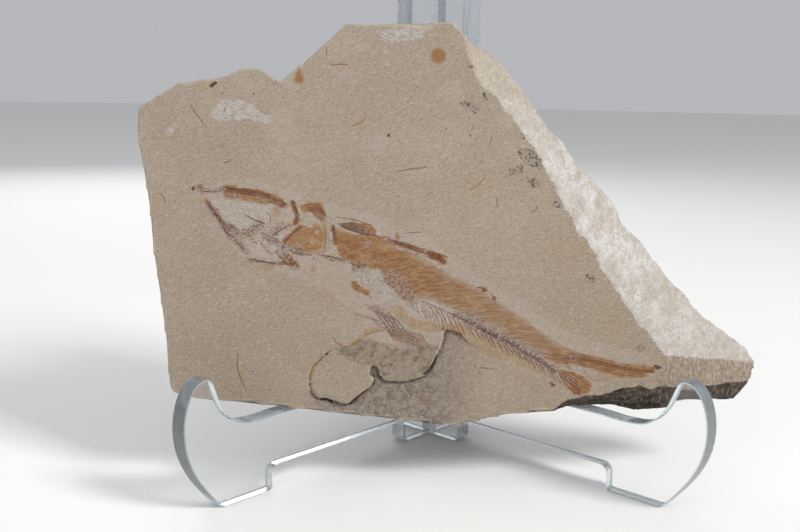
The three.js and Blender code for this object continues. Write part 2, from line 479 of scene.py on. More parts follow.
# %% The amber film, the rust and the purple
AMBER = [
    area(FLANK), area(GILL_COVER), area(SKULL_ROOF), area(UPPER_TAIL), area(LOWER_TAIL), area(DORSAL_FIN),
    area(FIN_TUFT),
    area([(-44, 68.5), (-40.5, 69.5), (-37, 69.5), (-36.5, 68), (-35.5, 65.5), (-37, 64), (-39, 65.5),
          (-40.5, 67), (-42.5, 66.5)]),
    area([(-28, 46), (-26.5, 46), (-25, 44.5), (-22.5, 43), (-21.8, 41), (-25, 42.5), (-27.5, 43.8)]),
    stroke(1.3, [(-48, 52), (-45, 51.5), (-44.3, 50.5)]),
    stroke(1.5, [(-46, 69.5), (-44.6, 66), (-45, 63.5)]), spot(0.9, -14, 59.6),
    stroke(1.3, [(-72, 70.2), (-69.8, 67), (-67.6, 64)]),
]
RUST = [
    stroke(1.9, [(-66, 73.6), (-63, 73), (-59, 72.6), (-55, 72), (-51.5, 70.4), (-49, 69)]),
    spot(0.8, -73.8, 74.1), area([(-67.5, 63.8), (-63.8, 62.6), (-62.2, 61.4), (-65.5, 60.6)]),
    stroke(1.0, [(-71.5, 69.5), (-70.5, 68), (-69, 66), (-67, 63), (-66, 60.5)]),
    stroke(1.1, [(-46, 70), (-44.5, 66), (-45, 63.5)]),
    area([(-42, 68.5), (-38, 69), (-36, 66.5), (-37, 64.5), (-39, 66.5), (-41.5, 67.5)]),
    stroke(0.9, [(-48.5, 58), (-46.5, 60), (-43.5, 62.5)]),
    stroke(1.1, [(-33.8, 62.5), (-33.2, 60), (-33, 57.5)]),
    stroke(0.42, [(-15.5, 58.7), (-9, 56.9), (-3, 55)]),
    stroke(0.5, [(-25, 60.4), (-20, 59.6), (-15.5, 58.8)]),
    stroke(1.3, [(-4.5, 54.3), (-1.5, 53.4), (0.6, 52)]),
    stroke(1.7, [(38, 22.5), (44, 22.8), (50, 21), (54, 20.2)]),
    stroke(1.8, [(37.5, 17.5), (41, 15), (42.5, 12)]), stroke(1.0, [(52, 20.5), (60, 19), (65.5, 19)]),
    stroke(1.1, [(-50.5, 51.3), (-47.8, 51.2), (-46.2, 50.6)]), spot(0.8, 13, 43.6), spot(0.6, 16, 41),
    spot(0.7, 34.5, 14.5), spot(0.7, -51, 60.2), stroke(1.2, [(0.5, 31.5), (3.5, 30.7), (5.5, 30)]),
]
PURPLE = [
    stroke(1.0, [(-74.8, 74.2), (-73, 74), (-73.2, 72.3)]),
    stroke(1.5, [(-67.5, 64), (-65.8, 61), (-63.2, 61.3)]),
    stroke(1.1, [(-65.5, 60), (-62, 56.5), (-60.5, 55)]),
    stroke(2.8, [(-66.5, 62.5), (-62, 60), (-58.5, 60.6), (-55.8, 63.2)]),
    area([(-68, 64), (-65.5, 63.2), (-62.8, 61.6), (-65.6, 60.2)]),
    stroke(1.2, [(-14, 58), (-9, 56.5), (-3.6, 54.7)]),
    stroke(1.2, [(-74, 73.2), (-70.5, 73.2), (-67, 73.6)]),
    stroke(2.2, [(-54, 59.5), (-50, 57.3), (-46, 55.6), (-43, 54.8)]),
    stroke(1.6, [(-52, 60.6), (-49.3, 63)]), stroke(2.6, [(-49.5, 54.5), (-47.4, 52.4), (-45.2, 50.6)]),
    stroke(2.0, [(-70.6, 68), (-68, 64.5), (-66, 61.6)]), stroke(1.2, [(-62, 57.5), (-59.5, 54.5)]),
    stroke(1.0, [(-55, 57), (-52, 54)]), stroke(1.1, [(-59, 52.2), (-54.5, 51.7), (-50.5, 51)]),
    stroke(1.2, [(-39, 66.5), (-36.5, 64.8)]),
    area([(-37.8, 54), (-33.5, 53.7), (-29.5, 53), (-29.5, 51.5), (-34, 52)]),
    area([(-28, 52), (-23, 51.5), (-23.5, 49.5), (-27.5, 48.5)]),
    area([(-31, 62.6), (-27, 63.8), (-25, 62.5), (-21.5, 60.8), (-22.5, 60), (-27, 61)]),
    area([(-19, 50), (-13, 49), (-10, 46), (-8.2, 41), (-12, 40.3), (-15, 43.3), (-17.8, 45.8)]),
    area([(5, 38), (8.5, 37.5), (14, 33.8), (21, 29.5), (27, 26), (35.5, 20), (35, 18), (29, 20.5),
          (22, 24.5), (14, 28.7), (8, 32.2)]),
    stroke(1.6, [(-16, 58.3), (-9, 55.8), (-3.5, 54)]),
    stroke(1.8, [(-20, 33.8), (-15.5, 31.2), (-11.5, 29.7), (-8.5, 29.5)]),
    area([(-18, 33), (-14, 33), (-9, 30.5), (-6.5, 28), (-8, 26.5), (-12, 28.5), (-15.5, 29.5)]),
    stroke(1.2, [(37, 23), (42, 23.3)]), stroke(1.1, [(38, 17), (40.5, 16)]), spot(0.9, -23, 57),
    stroke(1.2, [(-66, 71.8), (-62.5, 71.6)]), stroke(0.8, [(-57, 71.2), (-53, 70.2), (-50, 69)]),
    stroke(0.8, [(-27, 36), (-22, 35), (-17.5, 32.5)]),
    area([(-24, 39), (-18, 38.5), (-12, 33), (-17, 33.5)]),
]
CHIPS = [
    spot(0.75, -40, 57.6), spot(0.9, -23, 57), stroke(0.9, [(-14, 56.3), (-11.5, 55.9), (-8.5, 55)]),
    spot(0.5, -38.6, 61), spot(0.5, 9.6, 44.6), stroke(0.5, [(-45, 57.5), (-43.6, 56.4)]),
    spot(0.5, 12.5, 37.5), stroke(0.5, [(-56, 70.6), (-53.5, 70.2)]), spot(0.55, -63.5, 71.6),
]
print(len(AMBER), "amber shapes,", len(RUST), "rust shapes,", len(PURPLE), "purple shapes")

# %% The pale bloom, the faint tan and the soot
PALE = [
    area([(-67, 70.5), (-60.5, 69.3), (-53.5, 68.8), (-51.5, 67), (-52.5, 64.5), (-55.5, 63), (-59, 61),
          (-63, 61.7), (-66, 64.5), (-70, 68.5), (-71, 70)]),
    area([(-28, 50.3), (-23, 49.5), (-19, 49), (-18, 45.5), (-15, 43.5), (-14, 39.5), (-19.5, 40.5),
          (-23.5, 44), (-27.5, 47)]),
    area([(-8.5, 41), (-4, 40), (1, 38), (5.5, 36.5), (8, 35.5), (6.5, 34), (1.5, 33.5), (-4, 34.5),
          (-9.5, 36), (-11.5, 39.5)]),
    stroke(1.7, [(-35, 65), (-34.8, 60), (-35, 55), (-38, 53.5)]),
    stroke(1.4, [(-44, 64.8), (-39, 64.6)]), stroke(1.4, [(-12.8, 55.9), (-8.2, 54.6)]),
    spot(1.1, -23, 57), spot(0.9, -39.5, 57.5), stroke(0.9, [(-66.3, 72.2), (-65, 71.6), (-63.6, 72.2)]),
    stroke(0.5, [(-62, 71.7), (-57, 71.2), (-53, 70.8)]),
    area([(-60, 58), (-54, 60.5), (-48, 60), (-44.5, 53.5), (-52, 52.5), (-58, 54)]), spot(1.0, 10, 45.2),
    spot(1.2, 20.5, 22), stroke(0.5, [(41.5, 20), (46.5, 19), (50.5, 17)]),
    stroke(1.0, [(-88.5, 77.5), (-87.5, 76)]), stroke(1.2, [(-48, 61), (-44.5, 64)]),
    stroke(1.4, [(-52, 54), (-44, 53)]), stroke(0.9, [(-52, 56), (-49, 52)]),
    stroke(1.0, [(-46.5, 53.5), (-45.5, 50)]),
]
HALO = [
    area([(-76, 74), (-66, 77), (-55, 76), (-46, 73.5), (-34.5, 69), (-19.5, 66), (-7, 60), (3, 54),
          (11.5, 48), (24, 40.5), (36.5, 32), (45.5, 28), (61, 25), (68, 22), (66, 19), (50, 15),
          (46, 12), (34, 17), (20, 22), (6, 30), (0, 30), (-8, 20), (-20, 28), (-26, 36), (-34, 42),
          (-44, 46), (-56, 51), (-62, 54), (-68, 62), (-73, 70)]),
    spot(5, -50, 93), spot(4, -47, 108), spot(2.5, 18.5, 95.5), spot(4, 2, 104), spot(3, -20, 88),
]
TAN = [
    area([(-16, 38.5), (-12.5, 38.5), (-10.5, 35.5), (-6.5, 34), (1, 33), (1.5, 31), (-3.5, 30.5),
          (-10.5, 32), (-14.5, 35.5)]),
    area([(1, 33), (6.5, 34), (8.5, 31.5), (14, 27.5), (22, 22), (18, 22), (11, 25), (7, 28), (1.5, 31)]),
    area([(10, 31), (20, 26.5), (30, 20.5), (35, 17.5), (32, 17), (24, 20.5), (16, 24.5)]),
    area([(37, 21), (44, 20.6), (53, 18.6), (58, 17), (52, 16), (47, 15.6), (43.5, 18), (39, 19.4)]),
    spot(1.6, -51, 66.8), stroke(1.4, [(-57, 49.8), (-52, 50)]), spot(1.0, -39.5, 49.5),
    spot(1.4, -15, 30), stroke(1.6, [(-48, 62), (-44, 64.3)]),
    stroke(2.0, [(-44.5, 54.6), (-37, 54.9), (-35.4, 59), (-36.4, 64)]),
    stroke(1.2, [(-59, 59), (-57, 57)]), stroke(1.0, [(-37, 69.8), (-41.5, 70)]),
    stroke(1.6, [(-23.5, 30), (-20.5, 31), (-18, 31.5)]),
    stroke(1.0, [(-40, 16.5), (-39.5, 19.5), (-37, 22), (-34.5, 24.5)]),
    area([(-15, 13), (-8, 14), (-7, 10.5), (-12.5, 11)]), stroke(1.6, [(-22, 9), (-16, 7), (-11, 5.5)]),
    spot(3.0, -88, 26),
]
BLUSH = [
    area([(-45, 50), (-36, 49.5), (-29, 47.5), (-25, 40.5), (-17, 38), (-13, 33), (-18, 30), (-26, 31),
          (-36, 37), (-46, 45)]),
    area([(2, 25), (10, 27), (22, 20), (30, 17), (32, 12), (20, 13), (8, 19)]),
    area([(33, 16.5), (40, 12), (46, 12), (54, 17), (50, 19.5), (42, 20.5), (36, 20)]),
]
SOOT = [
    area([(22.5, 87), (27, 87), (31, 83.5), (29.5, 81), (26, 82), (23, 84.5)]),
    area([(20, 81), (24, 82.5), (24.5, 79.5), (20.5, 78.5)]),
    area([(25, 78.5), (28.5, 78), (30.5, 75.5), (27, 75)]),
    area([(33.5, 71), (36, 71), (36, 69), (34, 69)]),
    area([(4, 101.5), (8.5, 101), (11, 99), (9.5, 97.5), (5.5, 99.5)]),
    area([(44, 49), (47, 48.5), (47, 45.5), (45, 46)]), spot(1.2, 61.5, 26), spot(0.9, 12.5, 102.5),
    spot(0.9, 24, 91), spot(1.0, 8, 112),
]
DARK_SPECKS_AND_SHADOWS = [
    stroke(1.1, [(-70.8, 104.6), (-69.6, 105.5)]), spot(0.7, 67, 20.1),
    stroke(0.7, [(66, 20.5), (68, 20)]), spot(0.55, -76, 73.6), spot(0.3, -67.5, 102.5),
    spot(0.5, 12, 103.5), spot(0.5, -17, 90.5), spot(0.3, -58, 102.5),
    # These three areas are painted shadows under the edges of the lifted layer, not specks.
    area([(-1.7, 24), (-2.9, 21.4), (-4.2, 19.4), (-5.9, 17.8), (-5.4, 17.3), (-3.4, 18.4), (-1.9, 20.8),
          (-1.4, 22.6)]),
    area([(-28.6, 8.6), (-26.8, 10.3), (-23.6, 12.6), (-22.6, 12.8), (-25, 10.6), (-27, 8.7), (-28, 8)]),
    area([(-37.4, 10.1), (-35.4, 10.3), (-33, 9.4), (-33.4, 8.6), (-35.4, 9.4), (-37, 9.2)]),
]
LILAC = [
    area([(-70.5, 96.5), (-67.5, 101), (-62, 100.5), (-58, 99), (-55.5, 96.5), (-52, 95), (-53, 93.5),
          (-57.5, 94), (-61, 95), (-66.5, 94), (-70, 94.5)]),
    area([(-20.5, 122), (-15.5, 123.5), (-8, 124), (-4, 123.5), (-7.5, 120), (-14, 119), (-18.5, 119)]),
    stroke(1.4, [(-83.5, 90.7), (-81.5, 92.4)]),
]
OCHRE = [
    spot(2.3, -2, 115),
    area([(-44.5, 110.8), (-45.9, 107.2), (-45.3, 106), (-43.5, 105.9), (-42.8, 107.2)]),
]

# %% [markdown]
# ## The flake
# Below the belly a thin layer of the stone lifted off and broke away. Its two lobed edges stand about
# a millimetre over a greyer layer, and a dark gap runs under them. The lower layer rises again to the
# right until it meets the face.

# %% The edge of the lifted layer and the hollow beyond it
LOBES = [
    (-40, 12.5), (-38.5, 10.7), (-37, 10), (-35.5, 10.2), (-33, 9.3), (-30, 8.4), (-28, 8.5),
    (-26.5, 10), (-24.5, 11.5), (-22, 13.5), (-20.8, 15), (-20.6, 16.5), (-21.8, 17.6), (-22, 19),
    (-21.3, 20), (-20.1, 20), (-19.4, 19), (-19, 17), (-17.5, 15.7), (-15, 15.3), (-11, 15.3),
    (-8, 16), (-5.5, 17), (-3.5, 19), (-2.5, 21.5), (-1.5, 23.5), (-0.5, 25.5), (0.3, 28), (0.6, 30.2),
]
BROWN_EDGE = [(0.6, 30.2), (1.2, 31.5), (3.5, 30.6), (5.5, 30), (7.5, 28)]
HOLLOW = LOBES + BROWN_EDGE[1:] + [(14, 24), (22, 19), (30, 13), (36, 6), (36, -6), (-44, -6), (-44, 11)]
LEFT_CRACK = [(-38.5, 10.7), (-40.2, 13.5), (-40.3, 16.5), (-39.5, 19.5), (-37, 22), (-34, 24.8)]
LOBE_SHADE = [
    area([(-33, 25), (-24, 28.5), (-14, 26.5), (-4, 27), (-1, 26), (-3, 20.5), (-6, 16.5), (-11, 15.2),
          (-17.5, 15.7), (-19.5, 19), (-22, 20), (-27, 21)]),
]
STEP = 1.15
GAP_UNDER_LOBES = 0.55
CRACK_DEPTH = 0.4
LIP_CURL = 0.16


def flake_drop(u, v):
    """How far the surface lies below the face because of the missing layer, in millimetres."""
    depth = depth_in([area(HOLLOW)], u, v)
    reach = ramp(u, -44, -36) * (1 - 0.94 * ramp(u, -1, 13))
    step = ramp(depth, -0.12, 0.42)
    lobe_gap = np.exp(-((distance_to(LOBES, u, v, False) - 0.3) / 0.38) ** 2) * (depth > -0.25)
    crack = np.exp(-((distance_to(LEFT_CRACK, u, v, False)) / 0.32) ** 2)
    curl = np.exp(-((depth + 1.3) / 0.9) ** 2) * (depth < 0)
    gaps = GAP_UNDER_LOBES * lobe_gap + CRACK_DEPTH * crack
    return STEP * reach * step + gaps - LIP_CURL * curl * reach


# Dark hairline cracks. The strokes along the lobes and along the brown edge also paint the shade in the gap
# under the lifted layer.
CRACKS_AND_GAP_SHADE = [
    stroke(0.2, [(10, 98.5), (9, 95), (8, 90.5)]), stroke(0.2, [(0.5, 93), (2.5, 91)]),
    stroke(0.36, LOBES), stroke(0.34, LEFT_CRACK), stroke(0.3, BROWN_EDGE[1:]),
    stroke(0.36, [(-52.5, 105), (-51.3, 106), (-50.5, 106.8)]),
    stroke(0.3, [(-66.4, 100.8), (-66.2, 99), (-67, 96.5)]),
    stroke(0.28, [(9.5, 20.5), (13, 19.6), (17.5, 19.5)]), stroke(0.28, [(10.5, 17), (12, 19)]),
    stroke(0.24, [(-4, 16), (-3.8, 11)]), stroke(0.3, [(-53, 94), (-53.4, 91.5)]),
]
print("the flake steps down", STEP, "mm")

# %% [markdown]
# ## Splitting the skin where a drawing has an edge
# A drawing's border is only as crisp as the squares it crosses. So the squares along the crisp borders
# are split once more, and the plain stone keeps the coarser ones. A map of half-millimetre cells says
# where those borders run. The later purple shapes are soft and need no finer squares.

# %% Finer squares along the borders
CRISP_PURPLE = 12
BORDERED = AMBER + RUST + PURPLE[:CRISP_PURPLE] + CRACKS_AND_GAP_SHADE + DARK_SPECKS_AND_SHADOWS + OCHRE
CELL = 0.5
MAP_LEFT, MAP_RIGHT, MAP_FOOT, MAP_TOP = -200, 200, -25, 175
NEAR = 0.42
FACES_VIEWER = 0.6


def near_border(face):
    u, v = face.calc_center_median().to_2d() / MM
    column = int(u / CELL) - round(MAP_LEFT / CELL)
    row = int(v / CELL) - round(MAP_FOOT / CELL)
    return face.normal.z > FACES_VIEWER and borders[column, row]


cells = np.meshgrid(np.arange(MAP_LEFT, MAP_RIGHT, CELL), np.arange(MAP_FOOT, MAP_TOP, CELL), indexing="ij")
borders = np.zeros(cells[0].shape, bool)
for shape in BORDERED:
    borders |= np.abs(shape(cells[0] + CELL / 2, cells[1] + CELL / 2)) < NEAR
split_faces(slab.data, near_border)
triangles = sum(len(face.vertices) - 2 for face in slab.data.polygons)
print("skin:", triangles, "triangles")

# %% [markdown]
# ## Sculpting the skin
# Three kinds of surface meet on this stone. The face is a bedding plane: nearly flat, gently wavy and
# finely grained. The broken sides are scalloped, with the layers showing as faint ledges. The back is
# a rough bedding plane, with low terraces. Every vertex moves mostly inwards, so the stone stays
# inside the CAD slab and clear of the easel.

# %% The height of the face
def face_height(u, v):
    """The surface of the face over its flat plane, in millimetres."""
    places = np.column_stack([u, v, np.zeros(len(u))])
    waves = 0.16 * ripple(places, 28, 1) + 0.07 * ripple(places, 7, 2) + 0.035 * ripple(places, 2.2, 3)
    hollow = ramp(depth_in([area(HOLLOW)], u, v), 0, 1.5)
    rubble = hollow * (0.16 * ripple(places, (5, 3.5, 5), 4) + 0.08 * ripple(places, 1.6, 5))
    film = 0.05 * ramp(depth_in(AMBER, u, v), -0.1, 0.3)
    buckles = 0.2 * ramp(depth_in(LOBE_SHADE, u, v), 0, 2.5) * ripple(places, (4.5, 3.2, 4), 15)
    return -0.24 + waves + rubble + film + buckles - flake_drop(u, v)


# %% Move the vertices
def sculpt(mesh):
    """Gives the blank its waves, flake, scallops and ledges. Returns what the shader needs to know."""
    places = read_places(mesh)
    normals = np.empty(len(places) * 3)
    mesh.vertex_normals.foreach_get("vector", normals)
    normals = normals.reshape(-1, 3)
    u, v, w = places.T.copy()
    frontness = ramp(w, -2.6, -0.1) * ramp(normals[:, 2], -0.2, 0.5)
    slope = ramp(normals[:, 2], 0.15, 0.4) * ramp(normals[:, 0], 0.1, 0.3)
    side = slope * (1 - ramp(w, -1.3, -0.35)) + (1 - slope) * (1 - ramp(w, -4.5, -0.35))
    backness = ramp(-w, 16.5, 19.4) * ramp(-normals[:, 2], 0.5, 0.9)
    under = ramp(-normals[:, 1], 0.25, 0.6) * (1 - ramp(w, -1.3, -0.35)) * (1 - backness)

    scallops = 0.5 * (0.5 + 0.5 * ripple(places, (9, 9, 7), 6)) + 0.3 * np.abs(ripple(places, 3.1, 7))
    ledges = 0.42 * (0.5 + 0.5 * ripple(places, (30, 30, 1.7), 8))
    pits = 0.34 * ramp(ripple(places, 1.7, 9), 0.22, 0.6)
    crumbs = 0.12 * (1 + ripple(places, 1.2, 14))
    rough = 0.3 + 0.7 * ramp(normals[:, 0] * ramp(u, 0, 12), 0.1, 0.4)
    broken = (0.05 + scallops + ledges + pits + crumbs) * (1 - 0.35 * under) * np.maximum(rough, under)
    terraces = np.floor(2.6 * (1 + ripple(places, (26, 18, 30), 10))) * 0.34
    rough_back = terraces + 0.14 * (1 + ripple(places, 4, 11))
    inward = side * (1 - backness) * broken + backness * rough_back

    chips = 0.5 * ramp(ripple(places, (3.2, 3.2, 3), 12), 0.1, 0.55) * ramp(1 - normals[:, 2], 0.03, 0.2)
    places -= normals * inward[:, None]
    places[:, 2] += frontness * (face_height(u, v) - chips)
    mesh.vertices.foreach_set("co", (places * MM).ravel())
    mesh.update()
    print("moved in by up to", round(float(inward.max()), 2), "mm")
    return {"u": u, "v": v, "w": w, "normals": normals, "back": backness, "under": under}


skin = sculpt(slab.data)

# %% [markdown]
# ## Marks that the shader reads
# The drawings become numbers on the vertices. More numbers come from the stone itself: how far a vertex
# lies from the rim of the face and from the rim of the wide fracture, and where the stone is broken,
# dark under the front edge (painted shade over somewhat darker stone), weathered or part of the flat facet
# at the right end.

# %% The rims
def keep(mesh, name, values):
    """Stores one number for each vertex."""
    mesh.attributes.new(name, "FLOAT", "POINT").data.foreach_set("value", values.astype(np.float32))


def rim_distance(skin, chosen):
    """The distance across the face to the nearest chosen rim vertex, up to 6 mm."""
    rim = np.flatnonzero((skin["w"] > -0.9) & (skin["normals"][:, 2] > 0.2) & chosen)
    tree = kdtree.KDTree(len(rim))
    for index in rim:
        tree.insert((skin["u"][index], skin["v"][index], 0), index)
    tree.balance()
    distances = np.full(len(skin["u"]), 6.0)
    for index in np.flatnonzero(skin["w"] > -2.2):
        found = tree.find((skin["u"][index], skin["v"][index], 0))
        distances[index] = min(6.0, found[2])
    return distances


tilted = np.hypot(skin["normals"][:, 0], skin["normals"][:, 1]) > 0.3
keep(slab.data, "rim", rim_distance(skin, tilted))
fractured = tilted & (skin["normals"][:, 0] > 0.25) & (skin["u"] > 0)
keep(slab.data, "fracture_rim", rim_distance(skin, fractured))
print(int(tilted.sum()), "tilted vertices,", int(fractured.sum()), "of them on the fracture")

# %% Broken stone, the shaded dark band under the front edge, and weathered stone
# Below this line, at the right end, the face is painted as the dark underside: painted shade over stone
# that is somewhat darker itself.
SHADED_DARK_LINE = [(34, 6.1), (36.9, 8.6), (39.6, 9.9), (45.3, 11), (49.9, 11.7), (55.2, 13.5), (61.1, 14.2),
             (65, 13.4), (70, 13.7), (75, 13), (81.4, 12.3), (86, 12.8), (91, 13.4), (95, 13.9)]
shaded_dark_line = np.interp(skin["u"], [p[0] for p in SHADED_DARK_LINE], [p[1] for p in SHADED_DARK_LINE])
places = np.column_stack([skin["u"], skin["v"], skin["w"]])
ragged = 0.5 * ripple(places, (3.4, 3, 9), 16) + 0.25 * ripple(places, (1.3, 1.1, 4), 17)
shaded_dark_band = ramp(shaded_dark_line + ragged - skin["v"], -0.2, 0.25) * (skin["u"] > 34)
keep(slab.data, "under", np.maximum(skin["under"], shaded_dark_band))
keep(slab.data, "broken", np.maximum(1 - ramp(skin["w"], -1.5, -0.5), shaded_dark_band))
FACET_CORNER = (70.2, 23.9)
end_facet = FACET_CORNER[1] - 0.1 * (skin["u"] - FACET_CORNER[0]) - skin["v"]
end_facet = np.where(skin["u"] > 0, end_facet, 0.0)
keep(slab.data, "end_facet", np.clip(end_facet, -DEEP, DEEP))
keep(slab.data, "back", skin["back"])
print(int((shaded_dark_band > 0.5).sum()), "vertices under the dirt line")

# %% The drawings
front = (skin["normals"][:, 2] > 0.3) & (skin["w"] > -1.5)
DRAWINGS = {
    "amber": AMBER, "rust": RUST, "purple": PURPLE, "pale": PALE, "halo": HALO, "tan": TAN,
    "soot": SOOT, "dark_specks_and_shadows": DARK_SPECKS_AND_SHADOWS, "ochre": OCHRE, "crack": CRACKS_AND_GAP_SHADE, "hollow": [area(HOLLOW)],
    "lower_tail": [area(LOWER_TAIL)], "tail": [area(UPPER_TAIL)], "lobe": LOBE_SHADE,
    "lilac": LILAC, "blush": BLUSH, "chips": CHIPS,
}
for name, shapes in DRAWINGS.items():
    values = np.full(len(front), -DEEP)
    values[front] = depth_in(shapes, skin["u"][front], skin["v"][front])
    keep(slab.data, name, values)
print("marks:", ", ".join(DRAWINGS))

# %% [markdown]
# ## The run of the fibres
# The film over the flank is combed: fine lines run back from the backbone, rising a little near the
# head and dipping towards the tail. A pair of numbers follows that run (how far along, how far
# across), and noise stretched along it gives the combed look.

# %% Along and across the fibres
def fibre_height(u):
    """The height of one fibre above its start, as it runs to the right."""
    rise = 0.36 * (np.minimum(u, 6) + 34) - 0.003 * (np.minimum(u, 6) + 34) ** 2
    after = np.maximum(u - 6, 0)
    return rise + 0.12 * after - np.minimum(0.0052 * after ** 2, 0.2 * after)


def fibre_place(u, v):
    """(along, across) the fibres, in millimetres."""
    lower = depth_in([area(LOWER_TAIL)], u, v) > -0.6
    turn = math.radians(-47)
    along = np.where(lower, u * math.cos(turn) + v * math.sin(turn), u)
    across = np.where(lower, v * math.cos(turn) - u * math.sin(turn), v - fibre_height(u))
    return along, across


along, across = fibre_place(skin["u"], skin["v"])
fibre = slab.data.attributes.new("fibre", "FLOAT_VECTOR", "POINT")
fibre.data.foreach_set("vector", (np.column_stack([along, across, np.zeros(len(along))]) * MM).ravel())
print("fibres run from", round(float(along.min())), "to", round(float(along.max())), "mm")

# %% [markdown]
# ## The stone's finish
# The limestone is warm grey and very fine. Close up it is a felt of short fibres and specks. Freshly
# broken stone is paler and whiter, the underside is darkened by painted shade over somewhat darker stone,
# and the lower layer beside the flake is greyer. The fish is laid over that, from the faintest stain to the
# darkest bone.

# %% Plain stone
def stone_colour(tree):
    """The face, without the fish."""
    place = place_of(tree)
    face = lay(tree, tint(146, 131, 114),
               (grain(tree, (19, 15, 15), detail=3), 0.35, 0.68, 1, (156, 143, 129)),
               (grain(tree, (9, 7, 8), 0, 4, 13, rough=0.6), 0.5, 0.7, 0.4, (152, 134, 108)))
    # Painted shade: the face darkens towards the bottom, most at the left, where the light falls off.
    low = times(tree, between(tree, place["Z"], 0.085, 0.03),
                between(tree, place["X"], 0.01, -0.06, 0.25, 0.5))
    face = blend(tree, low, face, tint(132, 117, 101))
    tail_end = times(tree, between(tree, place["X"], 0.016, 0.044),
                     between(tree, place["Z"], 0.092, 0.058), 0.55)
    face = blend(tree, tail_end, face, tint(138, 121, 99))
    patches = grain(tree, (2.6, 1.7, 2), 28, 4, 3, rough=0.65)
    face = lay(tree, face, (patches, 0.46, 0.68, 0.4, (130, 115, 98)))
    felt = between(tree, grain(tree, (0.8, 0.42, 0.7), -24, 4, 5, rough=0.7), 0.34, 0.66)
    darker = blend(tree, 0.36, face, tint(121, 106, 89))
    lighter = blend(tree, 0.32, face, tint(174, 164, 151))
    specks = grain(tree, (0.7, 0.55, 0.7), 0, 1, 9)
    glints = grain(tree, (0.9, 0.8, 0.9), 40, 1, 11)
    return lay(tree, blend(tree, felt, darker, lighter),
               (specks, 0.66, 0.74, 0.6, (92, 78, 66)),
               (grain(tree, (2.6, 0.34, 1), -28, 3, 17, rough=0.6), 0.56, 0.64, 0.4, (150, 126, 96)),
               (grain(tree, (2.2, 0.3, 1), 48, 3, 18, rough=0.6), 0.58, 0.66, 0.42, (112, 98, 84)),
               (grain(tree, (2.4, 0.36, 1), 12, 3, 19, rough=0.6), 0.56, 0.65, 0.42, (180, 171, 158)),
               (glints, 0.67, 0.75, 0.4, (182, 174, 164)))


# %% Broken stone
def broken_colour(tree):
    """The fracture: whitish, tan towards the top corner, darker towards the bottom with painted shade, and
    with a felt of fine grey pits.
    """
    height = place_of(tree)["Z"]
    # The second height layer is painted shade: the fracture darkens towards the bottom.
    colour = lay(tree, tint(188, 181, 172),
                 (grain(tree, (9, 6, 16), 60, 4, 2, rough=0.6), 0.36, 0.62, 1, (207, 204, 200)),
                 (height, 0.1, 0.136, 0.8, (176, 160, 140)), (height, 0.074, 0.048, 0.3, (172, 162, 150)),
                 (grain(tree, (3.6, 2.4, 5), 55, 6, 17, rough=0.74), 0.42, 0.62, 0.5, (156, 143, 126)))
    limit = times(tree, grain(tree, (2.2, 4, 4), 0, 5, 3, rough=0.7), 2.6)
    end = between(tree, maths(tree, "ADD", measured(tree, "end_facet"), limit), 1.05, 1.75)
    scratched = grain(tree, (0.8, 2.0, 1.4), 8, 5, 8, rough=0.75)
    tan = lay(tree, tint(122, 107, 90), (scratched, 0.38, 0.62, 1, (164, 150, 132)))
    felt = grain(tree, (1.1, 0.7, 2.6), 55, 4, 4, rough=0.7)
    fine = grain(tree, (0.8, 0.5, 1.4), 20, 4, 14, rough=0.75)
    pits = grain(tree, (0.8, 0.6, 2.0), -20, 3, 6, rough=0.6)
    crystals = grain(tree, (0.8, 0.6, 2), 0, 2, 12)
    return lay(tree, blend(tree, end, colour, tan),
               (felt, 0.4, 0.62, 0.28, (156, 146, 134)), (fine, 0.46, 0.6, 0.32, (146, 135, 122)),
               (pits, 0.58, 0.67, 0.5, (120, 110, 102)), (crystals, 0.6, 0.7, 0.3, (220, 217, 212)))


# %% The fish over the stone
def frayed(tree, name, wobble, soft, sizes=(0.9, 0.45, 0.7), turn=0.0, seed=0.0, full=1.0):
    """1 inside a drawing and 0 outside, with a border that wanders by `wobble` millimetres."""
    wander = maths(tree, "SUBTRACT", grain(tree, sizes, turn, 4, seed, rough=0.68), 0.5)
    depth = maths(tree, "ADD", measured(tree, name), times(tree, wander, 4 * wobble))
    return between(tree, depth, -soft / 2, soft / 2, 0.0, full)


def film_colour(tree, fibres, combed, mottled, fine, in_tail):
    """The amber film: combed, blotched, thinner towards the tail and lighter at the shoulder."""
    combed_wide = grain(tree, (5, 0.9, 1), 0, 4, 23, place=fibres, rough=0.65)
    blotches = grain(tree, (4.5, 2.2, 3), -25, 5, 28, rough=0.72)
    film = lay(tree, tint(126, 86, 51),
               (combed_wide, 0.42, 0.58, 1, (144, 107, 68)),
               (combed, 0.5, 0.59, 0.62, (106, 69, 42)), (combed, 0.46, 0.36, 0.45, (160, 130, 96)),
               (blotches, 0.52, 0.6, 0.5, (156, 129, 100)), (blotches, 0.47, 0.38, 0.5, (112, 74, 46)),
               (mottled, 0.5, 0.62, 0.4, (120, 80, 48)),
               (fine, 0.56, 0.64, 0.42, (166, 146, 124)), (fine, 0.44, 0.37, 0.38, (96, 62, 42)))
    along = place_of(tree, fibres)["X"]
    flank_only = maths(tree, "SUBTRACT", 1.0, in_tail)
    thin = times(tree, between(tree, along, -0.018, 0.024, 0.0, 0.45), flank_only)
    film = blend(tree, thin, film, tint(140, 119, 97))
    return lay(tree, film, (along, -0.03, -0.038, 0.16, (164, 134, 98)))


